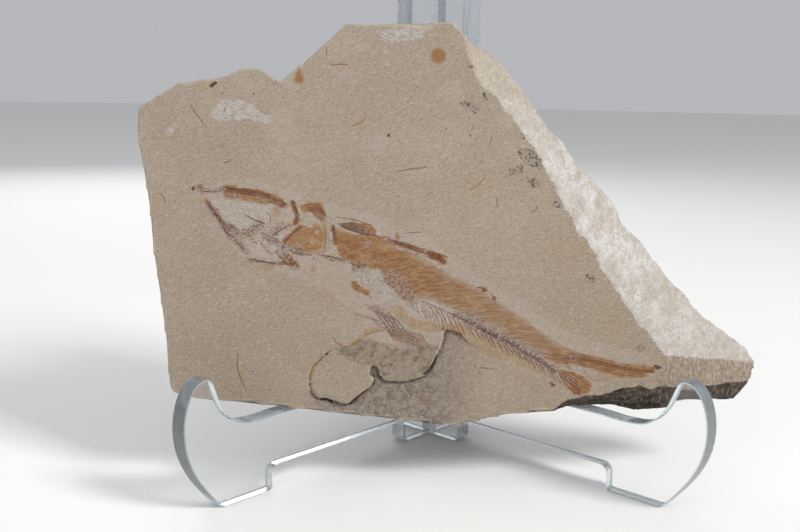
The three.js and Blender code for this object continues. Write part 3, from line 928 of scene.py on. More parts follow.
def film_strength(tree, fibres, combed, in_tail):
    """How much of the amber film is left: its border is combed out, and it fades towards the tail."""
    wander = maths(tree, "SUBTRACT", grain(tree, (1.7, 0.6, 0.8), 5, 4, 41, rough=0.68), 0.5)
    streaks = maths(tree, "SUBTRACT", combed, 0.5)
    wander = maths(tree, "ADD", times(tree, wander, 2.0), times(tree, streaks, 2.6))
    depth = maths(tree, "ADD", measured(tree, "amber"), wander)
    fade = maths(tree, "MAXIMUM", between(tree, place_of(tree, fibres)["X"], 0.004, -0.02),
                 between(tree, depth, -0.1, 2.4, 0.5, 1.0))
    fade = maths(tree, "MAXIMUM", fade, in_tail)
    return times(tree, between(tree, depth, -0.2, 0.25, 0, 0.96), fade)


def fish_colour(tree, stone):
    """Lays the drawings over the stone, the faintest first."""
    fibres = add(tree, "ShaderNodeAttribute", attribute_name="fibre").outputs["Vector"]
    combed = grain(tree, (3.2, 0.22, 1), 0, 4, 21, place=fibres, rough=0.6)
    mottled = grain(tree, (2.6, 1.6, 2), 20, 5, 25, rough=0.7)
    fine = grain(tree, (0.8, 0.45, 0.7), -30, 4, 27, rough=0.72)

    halo = frayed(tree, "halo", 1.5, 1.4, (3, 2, 3), 10, 31, 0.6)
    halo = times(tree, halo, between(tree, mottled, 0.35, 0.65, 0.3, 1))
    halo_tone = lay(tree, tint(150, 139, 127), (fine, 0.42, 0.6, 1, (166, 157, 147)))
    colour = blend(tree, halo, stone, halo_tone)
    blush = frayed(tree, "blush", 1.2, 2.2, (2.4, 1.6, 2), 0, 34)
    pink = times(tree, blush, between(tree, mottled, 0.47, 0.4), 0.5)
    colour = blend(tree, pink, colour, tint(148, 128, 120))
    warm = between(tree, grain(tree, (2.0, 1.0, 2), 30, 5, 36, rough=0.72), 0.52, 0.6, 0, 0.36)
    warm = times(tree, blush, warm)
    colour = blend(tree, warm, colour, tint(148, 124, 98))
    lilac = frayed(tree, "lilac", 0.9, 0.9, (2.4, 1.0, 2), -25, 29, 0.85)
    streaky = between(tree, grain(tree, (1.8, 0.5, 1), -25, 4, 30, rough=0.7), 0.4, 0.58)
    lilac_tone = blend(tree, fine, tint(156, 150, 147), tint(182, 179, 180))
    colour = blend(tree, times(tree, lilac, streaky), colour, lilac_tone)
    milky = lay(tree, tint(133, 119, 107),
                (fine, 0.4, 0.6, 1, (165, 157, 149)), (mottled, 0.5, 0.58, 0.55, (146, 127, 108)),
                (place_of(tree)["X"], -0.046, -0.052, 0.22, (180, 172, 163)))
    colour = blend(tree, frayed(tree, "pale", 0.9, 0.6, (1.8, 0.8, 1), -20, 33, 0.85), colour, milky)
    tan = frayed(tree, "tan", 0.5, 0.6, (1.6, 0.8, 1.4), -15, 37, 0.72)
    tan = times(tree, tan, between(tree, mottled, 0.3, 0.55, 0.45, 1))
    tan_tone = lay(tree, tint(132, 106, 78), (fine, 0.4, 0.6, 1, (152, 127, 100)))
    colour = blend(tree, tan, colour, tan_tone)

    in_tail = between(tree, measured(tree, "tail"), -2.0, 0.5)
    in_tail = maths(tree, "MAXIMUM", in_tail, between(tree, measured(tree, "lower_tail"), -1.0, 0.5))
    film = film_colour(tree, fibres, combed, mottled, fine, in_tail)
    colour = blend(tree, film_strength(tree, fibres, combed, in_tail), colour, film)
    colour = blend(tree, frayed(tree, "chips", 0.5, 0.5, (1, 0.6, 1), 0, 54, 0.72), colour, milky)

    ruddy = lay(tree, tint(96, 61, 45),
                (combed, 0.42, 0.58, 1, (134, 91, 63)), (mottled, 0.42, 0.6, 0.45, (88, 60, 52)),
                (fine, 0.56, 0.66, 0.5, (150, 112, 82)))
    colour = blend(tree, frayed(tree, "rust", 0.75, 0.4, (1.6, 0.4, 0.7), -15, 43, 0.9), colour, ruddy)
    rosy = frayed(tree, "purple", 0.9, 1.2, (1.6, 0.7, 0.7), -15, 46, 0.26)
    colour = blend(tree, rosy, colour, tint(148, 126, 116))
    crumbs = between(tree, grain(tree, (1.2, 0.3, 1), 0, 4, 45, place=fibres, rough=0.74), 0.48, 0.545)
    crumbs = times(tree, frayed(tree, "purple", 0.85, 1.3, (1.8, 0.4, 0.7), -15, 47), crumbs, 0.92)
    colour = blend(tree, crumbs, colour, tint(86, 56, 46))
    flecks = between(tree, grain(tree, (1.0, 0.26, 1), 0, 4, 49, place=fibres, rough=0.74), 0.51, 0.57)
    flecks = times(tree, frayed(tree, "purple", 0.9, 1.4, (1.8, 0.4, 0.7), -15, 51), flecks, 0.66)
    return blend(tree, flecks, colour, tint(172, 156, 144))


# %% Stains, soot, cracks and painted shadows under the flake
def lower_level(tree, colour, rubble, gravel):
    """The grey layer under the flake, painted shade at the foot of its step and a painted highlight on the
    lip above it.
    """
    across = place_of(tree)["X"]
    depth = measured(tree, "hollow")
    left_end = between(tree, across, -0.0435, -0.036)
    umber = grain(tree, (6, 5, 5), 0, 3, 64)
    lower = lay(tree, blend(tree, rubble, tint(104, 92, 82), tint(135, 123, 112)),
                (gravel, 0.5, 1.0, 0.5, (158, 150, 142)), (gravel, 0.5, 0.0, 0.34, (80, 68, 59)),
                (umber, 0.54, 0.7, 0.55, (118, 92, 76)))
    hollow = frayed(tree, "hollow", 0.25, 0.4, (1.5, 1, 1), 0, 61)
    grey = times(tree, hollow, between(tree, across, 0.016, -0.006, 0.1, 0.9), left_end)
    colour = blend(tree, grey, colour, lower)
    # Painted highlight: a pale line on the lip of the lifted layer, where its edge catches the light.
    lip_highlight = times(tree, between(tree, depth, -0.75, -0.35), between(tree, depth, -0.05, -0.2), left_end,
                between(tree, across, 0.004, 0.0), 0.5)
    colour = blend(tree, lip_highlight, colour, tint(184, 173, 157))
    # Painted shade: a dark band at the foot of the step, in the shade under the lifted layer.
    step_foot_shade = times(tree, between(tree, depth, 1.2, 0.2, 0, 0.22), between(tree, depth, -0.1, 0.15),
                      left_end, between(tree, across, 0.006, 0.0))
    return blend(tree, step_foot_shade, colour, tint(76, 64, 54))


def stain_colour(tree, colour):
    """The lower layer, the round stains, the soot specks, painted shadows under the lobes, and the cracks,
    partly painted shade in the gap under the lobes.
    """
    rubble = between(tree, grain(tree, (2.3, 1.8, 2), 30, 5, 63, rough=0.74), 0.4, 0.61)
    gravel = between(tree, grain(tree, (0.9, 0.45, 0.7), -35, 4, 66, rough=0.72), 0.38, 0.62)
    lobe = frayed(tree, "lobe", 1.2, 1.2, (3, 2, 2), 0, 60)
    patches = between(tree, grain(tree, (6, 4, 5), 20, 4, 68, rough=0.65), 0.42, 0.58, 0.5, 1.0)
    murky = blend(tree, rubble, tint(94, 82, 67), tint(130, 118, 103))
    murky = blend(tree, times(tree, gravel, 0.3), murky, tint(160, 149, 134))
    colour = blend(tree, times(tree, lobe, patches), colour, murky)
    colour = lower_level(tree, colour, rubble, gravel)
    colour = blend(tree, frayed(tree, "ochre", 0.4, 1.2, seed=65, full=0.86), colour, tint(132, 92, 50))
    dots = between(tree, grain(tree, (1.0, 0.8, 0.8), 0, 2, 67), 0.53, 0.58)
    soot = times(tree, frayed(tree, "soot", 0.4, 0.4, seed=69), dots, 0.92)
    colour = blend(tree, soot, colour, tint(48, 43, 40))
    smoke = frayed(tree, "soot", 0.6, 0.9, (1.4, 1, 1), 0, 70, 0.25)
    colour = blend(tree, smoke, colour, tint(112, 104, 94))
    # Dark specks, and painted shadows under the lobes' edges.
    colour = blend(tree, frayed(tree, "dark_specks_and_shadows", 0.3, 0.16, seed=71, full=0.85), colour, tint(50, 39, 34))
    # The crack strokes along the lobes' edges are partly painted shade of the gap beneath them.
    crack = frayed(tree, "crack", 0.36, 0.2, (1.3, 1.3, 2), seed=73)
    faded = between(tree, grain(tree, (3.4, 3.4, 4), 0, 4, 74, rough=0.65), 0.43, 0.57, 0.12, 0.95)
    return blend(tree, times(tree, crack, faded), colour, tint(42, 33, 27))


# %% The whole stone
def sides_colour(tree):
    """The stone away from the face: the fracture, the dark underside (painted shade over somewhat darker
    stone) and the weathered back.
    """
    layers = grain(tree, (16, 16, 0.6), 0, 4, 79)
    clods = grain(tree, (1.3, 1.6, 0.9), 0, 5, 80, rough=0.76)
    # The underside's near-black tone is mostly painted shade, over stone that is somewhat darker itself.
    shaded_dark_stone = lay(tree, tint(34, 30, 26),
               (layers, 0.35, 0.65, 1, (76, 68, 60)), (clods, 0.5, 0.6, 0.75, (116, 106, 95)))
    under = between(tree, measured(tree, "under"), 0.15, 0.55, 0, 0.96)
    sides = blend(tree, under, broken_colour(tree), shaded_dark_stone)
    weathered = lay(tree, tint(132, 119, 103),
                    (grain(tree, (15, 11, 12), 0, 4, 81), 0.38, 0.62, 1, (143, 131, 117)),
                    (grain(tree, (1.4, 0.9, 1), 20, 4, 86, rough=0.72), 0.42, 0.6, 0.45, (163, 153, 140)),
                    (grain(tree, (5, 3, 4), 35, 5, 87, rough=0.74), 0.53, 0.64, 0.45, (112, 94, 73)),
                    (grain(tree, (0.9, 0.7, 0.8), 0, 2, 88), 0.6, 0.68, 0.6, (86, 74, 62)))
    return blend(tree, between(tree, measured(tree, "back"), 0.2, 0.8), sides, weathered)


def stone_relief(tree, broken, film):
    """The finest relief, in millimetres: felt on the face, grain on the fracture, ribs in the film."""
    felt = times(tree, grain(tree, (1.1, 0.4, 0.7), -24, 4, 5, rough=0.7), 0.1)
    coarse = times(tree, grain(tree, (1.3, 0.9, 2.2), 55, 6, 85, rough=0.72), 0.5)
    ledges = times(tree, grain(tree, (26, 26, 0.6), 0, 3, 79), 0.3)
    relief = maths(tree, "SUBTRACT", maths(tree, "ADD", coarse, ledges), 0.4)
    fibres = add(tree, "ShaderNodeAttribute", attribute_name="fibre").outputs["Vector"]
    ribs = times(tree, grain(tree, (4.5, 0.2, 1), 0, 2, 21, place=fibres), film, 0.1)
    crust = times(tree, grain(tree, (0.9, 0.4, 0.6), 14, 4, 45, rough=0.7),
                  between(tree, measured(tree, "purple"), -0.3, 0.4), 0.22)
    return maths(tree, "ADD", maths(tree, "ADD", felt, times(tree, relief, broken)),
                 maths(tree, "ADD", ribs, crust))


def make_stone():
    material, tree, shader = new_finish("fossil_limestone")
    colour = stain_colour(tree, fish_colour(tree, stone_colour(tree)))
    # Painted highlight: a pale line along the rim of the face, where the edge catches the light.
    rim = maths(tree, "ADD", measured(tree, "rim"), times(tree, grain(tree, (2, 2, 2), 0, 2, 75), 1.2))
    colour = lay(tree, colour, (rim, 1.2, 0.75, 0.34, (182, 171, 156)))
    jag = times(tree, maths(tree, "SUBTRACT", grain(tree, (3.4, 3.4, 3), 0, 5, 77, rough=0.6), 0.5), 3.2)
    edge = between(tree, maths(tree, "ADD", measured(tree, "fracture_rim"), jag), 1.0, 0.7)
    broken = maths(tree, "MAXIMUM", between(tree, measured(tree, "broken"), 0.05, 0.4), edge)
    tree.links.new(blend(tree, broken, colour, sides_colour(tree)), shader.inputs["Base Color"])

    film = between(tree, measured(tree, "amber"), -0.2, 0.3)
    rough = between(tree, times(tree, film, grain(tree, (2, 1, 1), 0, 2, 83)), 0.2, 0.6, 0.96, 0.7)
    tree.links.new(rough, shader.inputs["Roughness"])
    shader.inputs["Specular IOR Level"].default_value = 0.15
    emboss(tree, shader, stone_relief(tree, broken, film))
    return material


slab.data.materials.clear()
slab.data.materials.append(make_stone())
slab.data.transform(FACE)
slab.data.polygons.foreach_set("use_smooth", np.ones(len(slab.data.polygons), bool))
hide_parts("fossil_slab")
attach(slab, "root")
print("stone finish:", len(slab.data.materials[0].node_tree.nodes), "nodes")

# %% [markdown]
# ## Fine bones
# Ribs, spines and fin rays are slivers of bone a fifth of a millimetre wide that stand a hair proud of
# the stone. Each sliver is a thin curve with a round section that tapers to its tips. It is laid on
# the sculpted surface, turned into a mesh and pressed flat. Slivers of one tone make one piece.

# %% Lay slivers on the stone
def rounded_line(points, step=0.55):
    """A smooth line through a few points, with a new point about every `step` millimetres."""
    knots = [Vector(p) for p in points]
    knots = [2 * knots[0] - knots[1]] + knots + [2 * knots[-1] - knots[-2]]
    line = []
    for before, start, end, after in zip(knots, knots[1:], knots[2:], knots[3:]):
        count = max(2, round((end - start).length / step))
        for part in (i / count for i in range(count)):
            swing = (end - before) * part + (2 * before - 5 * start + 4 * end - after) * part ** 2
            swing += (3 * start - before - 3 * end + after) * part ** 3
            line.append(start + 0.5 * swing)
    return line + [knots[-2]]


def lay_slivers(name, runs, finish, proud=0.03):
    """One piece of many slivers. A run is a list of (across, up) points and a width in millimetres."""
    curve = bpy.data.curves.new(name, "CURVE")
    curve.dimensions = "3D"
    curve.bevel_depth = MM
    curve.bevel_resolution = 1
    curve.use_fill_caps = True
    for points, width in runs:
        line = rounded_line(points)
        u, v = np.array(line).T
        heights = face_height(u, v) + proud
        spline = curve.splines.new("POLY")
        spline.points.add(len(line) - 1)
        for index, point in enumerate(spline.points):
            part = index / (len(line) - 1)
            point.co = (u[index] * MM, v[index] * MM, heights[index] * MM, 1)
            point.radius = width / 2 * (0.3 + 0.7 * math.sin(math.pi * part) ** 0.5)
    draft = bpy.data.objects.new(name + "_draft", curve)
    bpy.context.scene.collection.objects.link(draft)
    graph = bpy.context.evaluated_depsgraph_get()
    mesh = bpy.data.meshes.new_from_object(draft.evaluated_get(graph))
    bpy.data.objects.remove(draft)
    places = read_places(mesh)
    surface = face_height(places[:, 0], places[:, 1]) + proud
    places[:, 2] = surface + (places[:, 2] - surface) * 0.5
    mesh.vertices.foreach_set("co", (places * MM).ravel())
    return place_on_slab(name, mesh, finish)


def place_on_slab(name, mesh, finish):
    """Turns a mesh from the flat system to the leaning face and lets it ride with the stone."""
    mesh.transform(FACE)
    mesh.materials.clear()
    mesh.materials.append(finish)
    mesh.polygons.foreach_set("use_smooth", np.ones(len(mesh.polygons), bool))
    piece = bpy.data.objects.new(name, mesh)
    bpy.context.scene.collection.objects.link(piece)
    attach(piece, "root")
    print(name, len(mesh.polygons), "faces")
    return piece


def bone_finish(name, deep, middle, light):
    """Fossil bone: three tones that follow one another in crumbs half a millimetre long."""
    material, tree, shader = new_finish(name)
    crumbs = grain(tree, (1.4, 0.7, 0.8), 20, 4, 91, rough=0.65)
    colour = blend(tree, between(tree, crumbs, 0.36, 0.5), deep, middle)
    colour = blend(tree, between(tree, crumbs, 0.54, 0.68), colour, light)
    tree.links.new(colour, shader.inputs["Base Color"])
    tree.links.new(between(tree, crumbs, 0.3, 0.7, 0.62, 0.9), shader.inputs["Roughness"])
    shader.inputs["Specular IOR Level"].default_value = 0.3
    emboss(tree, shader, times(tree, grain(tree, (0.5, 0.3, 0.4), 0, 3, 93), 0.06))
    return material


# %% [markdown]
# ### Spines over and under the backbone
# Over the backbone the fibres run back almost level until they meet the line of the back. They are
# seen as broken dashes, so each is cut into two or three lengths. Under it the spines hang down and
# backwards at about sixty degrees and get shorter towards the tail.

# %% Level fibres and hanging spines
dice = random.Random(4)


def backbone_height(u):
    """How high the backbone lies at a place across the slab."""
    return float(np.interp(u, [p[0] for p in BACKBONE], [p[1] for p in BACKBONE]))


def back_height(u):
    return float(np.interp(u, [p[0] for p in BACK_LINE], [p[1] for p in BACK_LINE]))


def level_fibre(start):
    """Follows one fibre from the backbone to the line of the back."""
    base = backbone_height(start) + 0.6 - float(fibre_height(start))
    line = []
    u = start + 0.8
    while u < 41:
        v = base + float(fibre_height(u))
        if v > back_height(u) - 0.35:
            break
        line.append((u, v))
        u += 1.0
    return line


def dashes(line, shortest, longest, gap):
    """Cuts a line of points into dashes."""
    pieces = []
    start = dice.randint(0, 3)
    while start < len(line) - 2:
        end = min(len(line), start + dice.randint(shortest, longest))
        if end - start >= 2:
            pieces.append(line[start:end])
        start = end + dice.randint(0, gap)
    return pieces


FIBRES, FIRST_FIBRE, FIBRE_SPACING = 66, -22, 0.86
SPINES, FIRST_SPINE, SPINE_SPACING = 24, -4, 1.72
RIBS, FIRST_RIB, RIB_SPACING = 13, -10.5, 1.25
brown_fibres = []
light_fibres = []
for number in range(FIBRES):
    fibre_line = level_fibre(FIRST_FIBRE + number * FIBRE_SPACING + dice.uniform(-0.15, 0.15))
    chosen = light_fibres if number % 4 == 2 else brown_fibres
    for dash in dashes(fibre_line, 3, 9, 3):
        chosen.append((dash, dice.uniform(0.1, 0.2)))

hanging = []
ticks = []
for number in range(SPINES):
    u = FIRST_SPINE + number * SPINE_SPACING + dice.uniform(-0.3, 0.3)
    v = backbone_height(u) - 0.9
    length = 5.1 - 0.08 * number + dice.uniform(-0.6, 0.6)
    bend = dice.uniform(0.2, 0.6)
    width = dice.uniform(0.16, 0.3)
    spine = [(u, v), (u + 0.24 * length + bend * 0.3, v - 0.5 * length),
             (u + 0.42 * length + bend, v - 0.95 * length)]
    hanging.append((spine, width))
    if number > 4:
        tick = [(u - 0.9, v + 0.2), (u - 0.2, v + 1.2), (u + 0.7, v + 1.9)]
        ticks.append((tick, dice.uniform(0.2, 0.34)))
ribs = []
for number in range(RIBS):
    u = FIRST_RIB + number * RIB_SPACING + dice.uniform(-0.3, 0.3)
    v = backbone_height(u) - 2.2 + dice.uniform(-0.8, 0.8)
    rib = [(u, v), (u + 0.5, v - 2.2), (u + 1.3, v - 4.2 - dice.random())]
    ribs.append((rib, dice.uniform(0.14, 0.22)))
print(len(brown_fibres) + len(light_fibres), "fibres,", len(hanging), "spines,", len(ribs), "ribs")

# %% [markdown]
# ### Fins and tail
# A fin is a fan: its rays start close together on a short base and spread. One helper sets out a fan
# between two edge rays.

# %% Fans of rays
def between_points(a, b, part):
    return (a[0] + (b[0] - a[0]) * part, a[1] + (b[1] - a[1]) * part)


def fan(first, last, count, width, wander=0.15):
    """Rays between the first edge ray and the last one. Both have the same number of points."""
    rays = []
    for number in range(count):
        part = number / (count - 1)
        ray = [between_points(a, b, part) for a, b in zip(first, last)]
        tip = between_points(ray[-2], ray[-1], dice.uniform(0.55, 1.0))
        ray = ray[:-1] + [(tip[0] + dice.uniform(-wander, wander), tip[1] + dice.uniform(-wander, wander))]
        rays.append((ray, width * dice.uniform(0.7, 1.2)))
    return rays


upper_rays = fan([(34, 23.4), (42, 24), (53, 21.8), (66, 20.2)],
                 [(36.5, 21.2), (44, 20.6), (52, 18.6), (62.5, 17.4)], 9, 0.13, 0.5)
lower_rays = fan([(36.5, 19.2), (41, 17.6), (46, 14.6)],
                 [(36, 18), (38.6, 14.6), (42.6, 11.2)], 9, 0.2, 0.4)
tail_rays = upper_rays[::2] + lower_rays[::2]
tail_lights = upper_rays[1::4] + lower_rays[1::2]
pale_rays = fan([(39, 21.6), (44, 19.6), (51.5, 17.3)], [(38.5, 20), (42.5, 18.2), (47.5, 15.4)], 6, 0.34)
belly_rays = fan([(-17, 31.4), (-15.4, 29.2), (-13.8, 27.2)],
                 [(-7, 30.4), (-4.8, 27.4), (-2.9, 24.4)], 13, 0.26)
crossing = [([(-21 + k * 1.3, 37.4 - k * 0.5), (-18.4 + k * 1.2, 34), (-15.4 + k * 1.1, 30.2)], 0.2)
            for k in range(5)]
dorsal_rays = fan([(-32.5, 63.4), (-28, 63.6), (-22, 62.8)],
                  [(-30, 62), (-25.5, 60.6), (-20.6, 59.2)], 7, 0.24)
dorsal_rays += [([(-33, 65.5), (-29.5, 65), (-26.5, 64.5), (-22, 63)], 0.22)]
tuft_rays = fan([(-5, 55.2), (-1.5, 54.6), (1.7, 53.4)], [(-4.4, 53.4), (-1.4, 52.6), (0.6, 51)], 6, 0.34)
tuft_rays += fan([(-16.5, 58.8), (-10, 57), (-4, 55.3)], [(-15, 57.6), (-9.5, 55.8), (-4, 54)], 4, 0.26)

# %% [markdown]
# ### The head
# The skull is crushed into splinters. The long ones follow the jaws, the eye socket and the gill
# cover; the short ones lie scattered over the cheek.

# %% Splinters of the head
dark_splinters = [
    ([(-60.5, 66), (-58, 64.5), (-54, 63)], 0.3), ([(-74, 72.9), (-70, 72.6), (-67, 73)], 0.22),
    ([(-71.6, 69.6), (-70.4, 67.8), (-68.8, 65.6), (-67.2, 63)], 0.42),
    ([(-67, 63), (-65.8, 60.4), (-63.4, 58.8)], 0.34),
    ([(-63.4, 58.8), (-61.8, 56.6), (-60.3, 54.8)], 0.26),
    ([(-65.5, 73.6), (-61, 73), (-57, 72.5)], 0.36), ([(-56, 72.5), (-53, 71.6), (-50.4, 70)], 0.34),
    ([(-62, 72.4), (-58.5, 72), (-56.5, 71.6)], 0.24),
    ([(-7.5, 40.4), (-3, 38.8), (2, 36.5), (6, 34.9)], 0.16),
    ([(-15, 58.6), (-11, 57.4), (-7.6, 56.3)], 0.26), ([(-59, 52.4), (-54.5, 51.6), (-50.5, 51)], 0.4),
    ([(-45.9, 69.8), (-44.5, 66.4), (-45.2, 63.4)], 0.4), ([(-46, 54.6), (-43, 54), (-40, 53.8)], 0.24),
    ([(-37.5, 53.8), (-33.5, 53.2), (-30, 52.4)], 0.3),
    ([(-33.6, 63), (-33.3, 60.2), (-33.2, 57.8)], 0.3),
    ([(-28, 51.4), (-25.5, 50.6), (-23.2, 50.8)], 0.26), ([(-12.6, 60.5), (-9.5, 61), (-6.5, 61)], 0.16),
]
rusty_splinters = [
    ([(-52, 59.5), (-49, 61.6), (-46.5, 63)], 0.34),
    ([(-54, 67), (-52.8, 65.6), (-52.6, 64), (-53.5, 63.4)], 0.2),
    ([(-50.4, 54), (-48.6, 52.2), (-47.2, 50.6)], 0.3), ([(-49, 54.4), (-47, 52.4), (-45.2, 50.4)], 0.3),
    ([(-47.6, 54.6), (-46, 52.6), (-44.4, 51)], 0.24),
    ([(-48.4, 57.2), (-45.6, 60.4), (-42.6, 62.8)], 0.4),
    ([(-43.5, 68.8), (-40.5, 69.3), (-37.2, 69.4)], 0.36),
    ([(-38.2, 69.2), (-36.8, 67.4), (-35.7, 65.4)], 0.34),
    ([(-47, 50.8), (-45, 51.3), (-44.2, 50.2)], 0.4), ([(-66.8, 74.3), (-62, 73.6), (-56, 73.2)], 0.4),
    ([(-36.2, 55.4), (-35.8, 59.6), (-36.6, 63)], 0.24),
    ([(10.5, 44.4), (12.4, 44.2), (13.6, 43.4)], 0.5), ([(14.6, 42.6), (15.8, 41.6), (16.4, 40.6)], 0.36),
    ([(33.2, 15.4), (34.8, 14.3)], 0.42),
]
CRUMB_TRAILS = [
    ([(-71, 68.8), (-68.5, 65), (-66.5, 62.4)], 12),
    ([(-66.5, 62.4), (-62, 60), (-58.5, 60.6), (-55.8, 63.2)], 26),
    ([(-54, 59.5), (-50, 57.3), (-46, 55.6), (-43, 54.8)], 26), ([(-62, 57.5), (-59.5, 54.5)], 5),
    ([(-60, 58), (-55, 57.5), (-50, 58.5)], 14), ([(-56, 60), (-52, 62.5)], 6),
    ([(-50, 54.8), (-47.4, 52.4), (-45, 50.6)], 12), ([(-40, 53.6), (-34, 52.8), (-29, 51.8)], 12),
]
for trail, number in CRUMB_TRAILS:
    way = rounded_line([(u, v, 0) for u, v in trail])
    for _ in range(number):
        u, v, _flat = way[dice.randrange(len(way))]
        u += dice.gauss(0, 0.55)
        v += dice.gauss(0, 0.55)
        aim = dice.gauss(0.4, 1.1)
        length = dice.uniform(0.3, 0.9)
        splinter = [(u, v), (u + length * math.cos(aim), v + length * math.sin(aim))]
        dice.choice((dark_splinters, rusty_splinters)).append((splinter, dice.uniform(0.14, 0.3)))
print(len(dark_splinters), "dark and", len(rusty_splinters), "rusty splinters")

# %% [markdown]
# ### The backbone's bones
# A vertebra of a bony fish is a spool, narrow in the middle. One spool is a drum whose long edges are
# split and whose middle rings are drawn in. The spools shrink towards the tail, lie half sunk in the
# stone and are each knocked a little askew.

# %% A string of spools
def add_spool(bm, u, v, aim, length, width):
    """One vertebra, with its axis lying in the face."""
    older = len(bm.verts)
    bmesh.ops.create_cone(bm, cap_ends=True, segments=8, radius1=width / 2, radius2=width / 2, depth=length)
    bm.verts.ensure_lookup_table()
    drum = bm.verts[older:]
    edges = {edge for vert in drum for edge in vert.link_edges}
    long_edges = [edge for edge in edges if abs(edge.verts[0].co.z - edge.verts[1].co.z) > length / 2]
    bmesh.ops.subdivide_edges(bm, edges=long_edges, cuts=2)
    bm.verts.ensure_lookup_table()
    verts = bm.verts[older:]
    waist = [vert for vert in verts if abs(vert.co.z) < length / 4]
    bmesh.ops.scale(bm, verts=waist, vec=(0.66, 0.66, 1))
    bmesh.ops.rotate(bm, verts=verts, matrix=Matrix.Rotation(math.radians(90), 3, "Y"))
    bmesh.ops.rotate(bm, verts=verts, matrix=Matrix.Rotation(aim, 3, "Z"))
    height = float(face_height(np.array([u]), np.array([v]))[0])
    bmesh.ops.scale(bm, verts=verts, vec=(1, 1, 0.48))
    bmesh.ops.translate(bm, verts=verts, vec=(u * MM, v * MM, (height - 0.02) * MM))


FIRST_SPOOL, LAST_SPOOL = 4.0, 35.5


def make_backbone():
    bm = bmesh.new()
    u = FIRST_SPOOL
    count = 0
    while u < LAST_SPOOL:
        shrink = (u - FIRST_SPOOL) / 32
        length = 1.35 - 0.45 * shrink
        v = backbone_height(u) + dice.uniform(-0.25, 0.25)
        ahead = math.atan2(backbone_height(u + 1) - backbone_height(u), 1) + dice.uniform(-0.3, 0.3)
        width = (1.8 - 0.7 * shrink) * dice.uniform(0.75, 1.2)
        add_spool(bm, u, v, ahead, length * dice.uniform(0.7, 0.95) * MM, width * MM)
        u += length * 0.95
        count += 1
    mesh = bpy.data.meshes.new("backbone")
    bm.to_mesh(mesh)
    bm.free()
    print(count, "vertebrae")
    return mesh


# %% [markdown]
# ### Plant hairs
# Scraps of plant fell on the same mud. They are thin golden threads, a centimetre long at most, lying
# every way.

# %% The golden threads, and every sliver laid down
PLANT_HAIRS = [
    ([(-35, 111.5), (-32, 111.9), (-29.5, 111.8)], 0.4),
    ([(-36, 117), (-36.2, 115.6), (-36, 114.5)], 0.3), ([(-77, 99), (-75.4, 96.4), (-72, 92)], 0.3),
    ([(-67, 81.5), (-65.6, 81.8), (-64.5, 82.6)], 0.3), ([(-86.5, 72), (-85, 71.2), (-84.2, 69)], 0.35),
    ([(-28.5, 93), (-26, 94), (-24, 95.6)], 0.3), ([(-14.5, 79.5), (-10, 80.4), (-5, 81)], 0.45),
    ([(8, 74), (10.8, 76), (13, 78.5)], 0.36), ([(-5.5, 72), (-3.5, 73.5)], 0.28),
    ([(16, 72), (16.6, 70.5), (16.5, 69)], 0.3), ([(26.6, 67.4), (28.4, 68.4), (29, 70)], 0.4),
    ([(-62, 24), (-62.2, 20), (-61.5, 17), (-59.5, 12.5)], 0.42),
    ([(-33.5, 29), (-32, 27), (-29.5, 26), (-27.5, 26.4), (-25.5, 28), (-25, 29.5)], 0.42),
    ([(-24, 29.4), (-21, 30.6), (-18, 31)], 0.3), ([(-14.2, 61), (-13.9, 59.4)], 0.4),
    ([(14, 88), (14.6, 91)], 0.26), ([(-40, 17), (-39.3, 19.6), (-37.2, 22), (-35.6, 23.4)], 0.28),
]
bone_brown = bone_finish("bone_brown", tint(92, 62, 42), tint(120, 86, 58), tint(142, 112, 82))
bone_light = bone_finish("bone_light", tint(138, 112, 86), tint(152, 130, 108), tint(166, 150, 136))
bone_purple = bone_finish("bone_purple", tint(62, 44, 40), tint(92, 66, 58), tint(142, 122, 114))
bone_rust = bone_finish("bone_rust", tint(86, 48, 34), tint(120, 74, 46), tint(150, 108, 72))
bone_milky = bone_finish("bone_milky", tint(132, 112, 98), tint(160, 148, 138), tint(178, 172, 166))
plant_gold = bone_finish("plant_gold", tint(112, 82, 44), tint(138, 106, 62), tint(152, 124, 82))

lay_slivers("flank_fibres", brown_fibres, bone_brown, 0.0)
lay_slivers("flank_fibres_light", light_fibres, bone_light, 0.0)
lay_slivers("hanging_spines", hanging, bone_brown)
lay_slivers("purple_spines", ticks + crossing, bone_purple)
lay_slivers("ribs", ribs, bone_brown, 0.0)
lay_slivers("tail_rays", tail_rays, bone_brown)
lay_slivers("tuft_rays", tuft_rays, bone_rust)
lay_slivers("belly_rays", belly_rays, bone_brown)
lay_slivers("tail_lights", tail_lights, bone_light)
lay_slivers("dorsal_rays", dorsal_rays, bone_purple, 0.01)
lay_slivers("pale_rays", pale_rays, bone_milky)
lay_slivers("head_splinters_dark", dark_splinters, bone_purple)
lay_slivers("head_splinters_rust", rusty_splinters, bone_rust)
lay_slivers("plant_hairs", PLANT_HAIRS, plant_gold)
spools = bone_finish("bone_spools", tint(84, 58, 50), tint(122, 95, 82), tint(180, 168, 160))
place_on_slab("backbone", make_backbone(), spools)

# %% [markdown]
# ## The polished plates
# Each plate of the easel is laser cut from clear sheet. The CAD plates have the right outline and
# eased edges. Copies are merged and shaded smooth except at true corners, so that light runs round
# the hooks without facets. The finish is plain transmission with the index of acrylic, a faint
# tint through the sheet's depth, and the fine drag lines that a cutter leaves.

# %% Acrylic
ACRYLIC_INDEX = 1.49
ACRYLIC_TINT = (0.8, 0.9, 0.93, 1)
ACRYLIC_DENSITY = 3.0


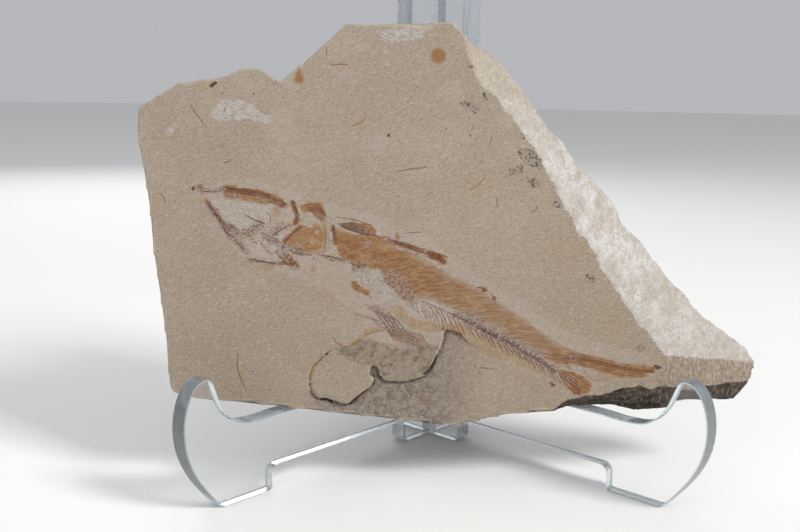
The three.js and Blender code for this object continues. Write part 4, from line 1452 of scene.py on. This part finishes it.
def make_acrylic(name, rough_low, rough_high, clearness, colour):
    """Clear sheet. The cut edges use the same recipe with a duller, milkier finish."""
    material, tree, shader = new_finish(name)
    shader.inputs["Base Color"].default_value = colour
    shader.inputs["Transmission Weight"].default_value = clearness
    shader.inputs["IOR"].default_value = ACRYLIC_INDEX
    coordinates = add(tree, "ShaderNodeTexCoord").outputs["Object"]
    smears = grain(tree, (14, 9, 9), 30, 3, 3, place=coordinates)
    tree.links.new(between(tree, smears, 0.45, 0.75, rough_low, rough_high), shader.inputs["Roughness"])
    scratches = grain(tree, (0.25, 0.25, 22), 0, 2, 5, place=coordinates)
    emboss(tree, shader, times(tree, between(tree, scratches, 0.62, 0.7), 0.012), 0.4)
    tinted = add(tree, "ShaderNodeVolumeAbsorption")
    tinted.inputs["Color"].default_value = ACRYLIC_TINT
    tinted.inputs["Density"].default_value = ACRYLIC_DENSITY
    output = next(node for node in tree.nodes if node.type == "OUTPUT_MATERIAL")
    tree.links.new(tinted.outputs["Volume"], output.inputs["Volume"])
    return material


FLAT_SHARE = 0.95
SHARP_FROM = math.radians(28)
sheet_finish = make_acrylic("clear_sheet", 0.01, 0.05, 1.0, tint(252, 253, 253))
edge_finish = make_acrylic("cut_edge", 0.22, 0.34, 0.82, tint(222, 226, 229))
for node, turn in (("left_easel_plate", -1), ("right_easel_plate", 1)):
    bm = bmesh.new()
    bm.from_mesh(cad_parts[node].data)
    bmesh.ops.remove_doubles(bm, verts=bm.verts, dist=WELD)
    bmesh.ops.dissolve_limit(bm, angle_limit=math.radians(0.5), verts=bm.verts, edges=bm.edges)
    sheet_normal = Vector((turn, 1, 0)).normalized()
    for face in bm.faces:
        face.smooth = True
        face.material_index = 0 if abs(face.normal.dot(sheet_normal)) > FLAT_SHARE else 1
    mesh = bpy.data.meshes.new("clear_" + node)
    bm.to_mesh(mesh)
    bm.free()
    mesh.set_sharp_from_angle(angle=SHARP_FROM)
    mesh.materials.append(sheet_finish)
    mesh.materials.append(edge_finish)
    plate = bpy.data.objects.new("clear_" + node, mesh)
    bpy.context.scene.collection.objects.link(plate)
    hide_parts(node)
    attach(plate, "root")
    print(plate.name, sum(p.material_index for p in mesh.polygons), "edge faces of", len(mesh.polygons))
print("two clear plates")
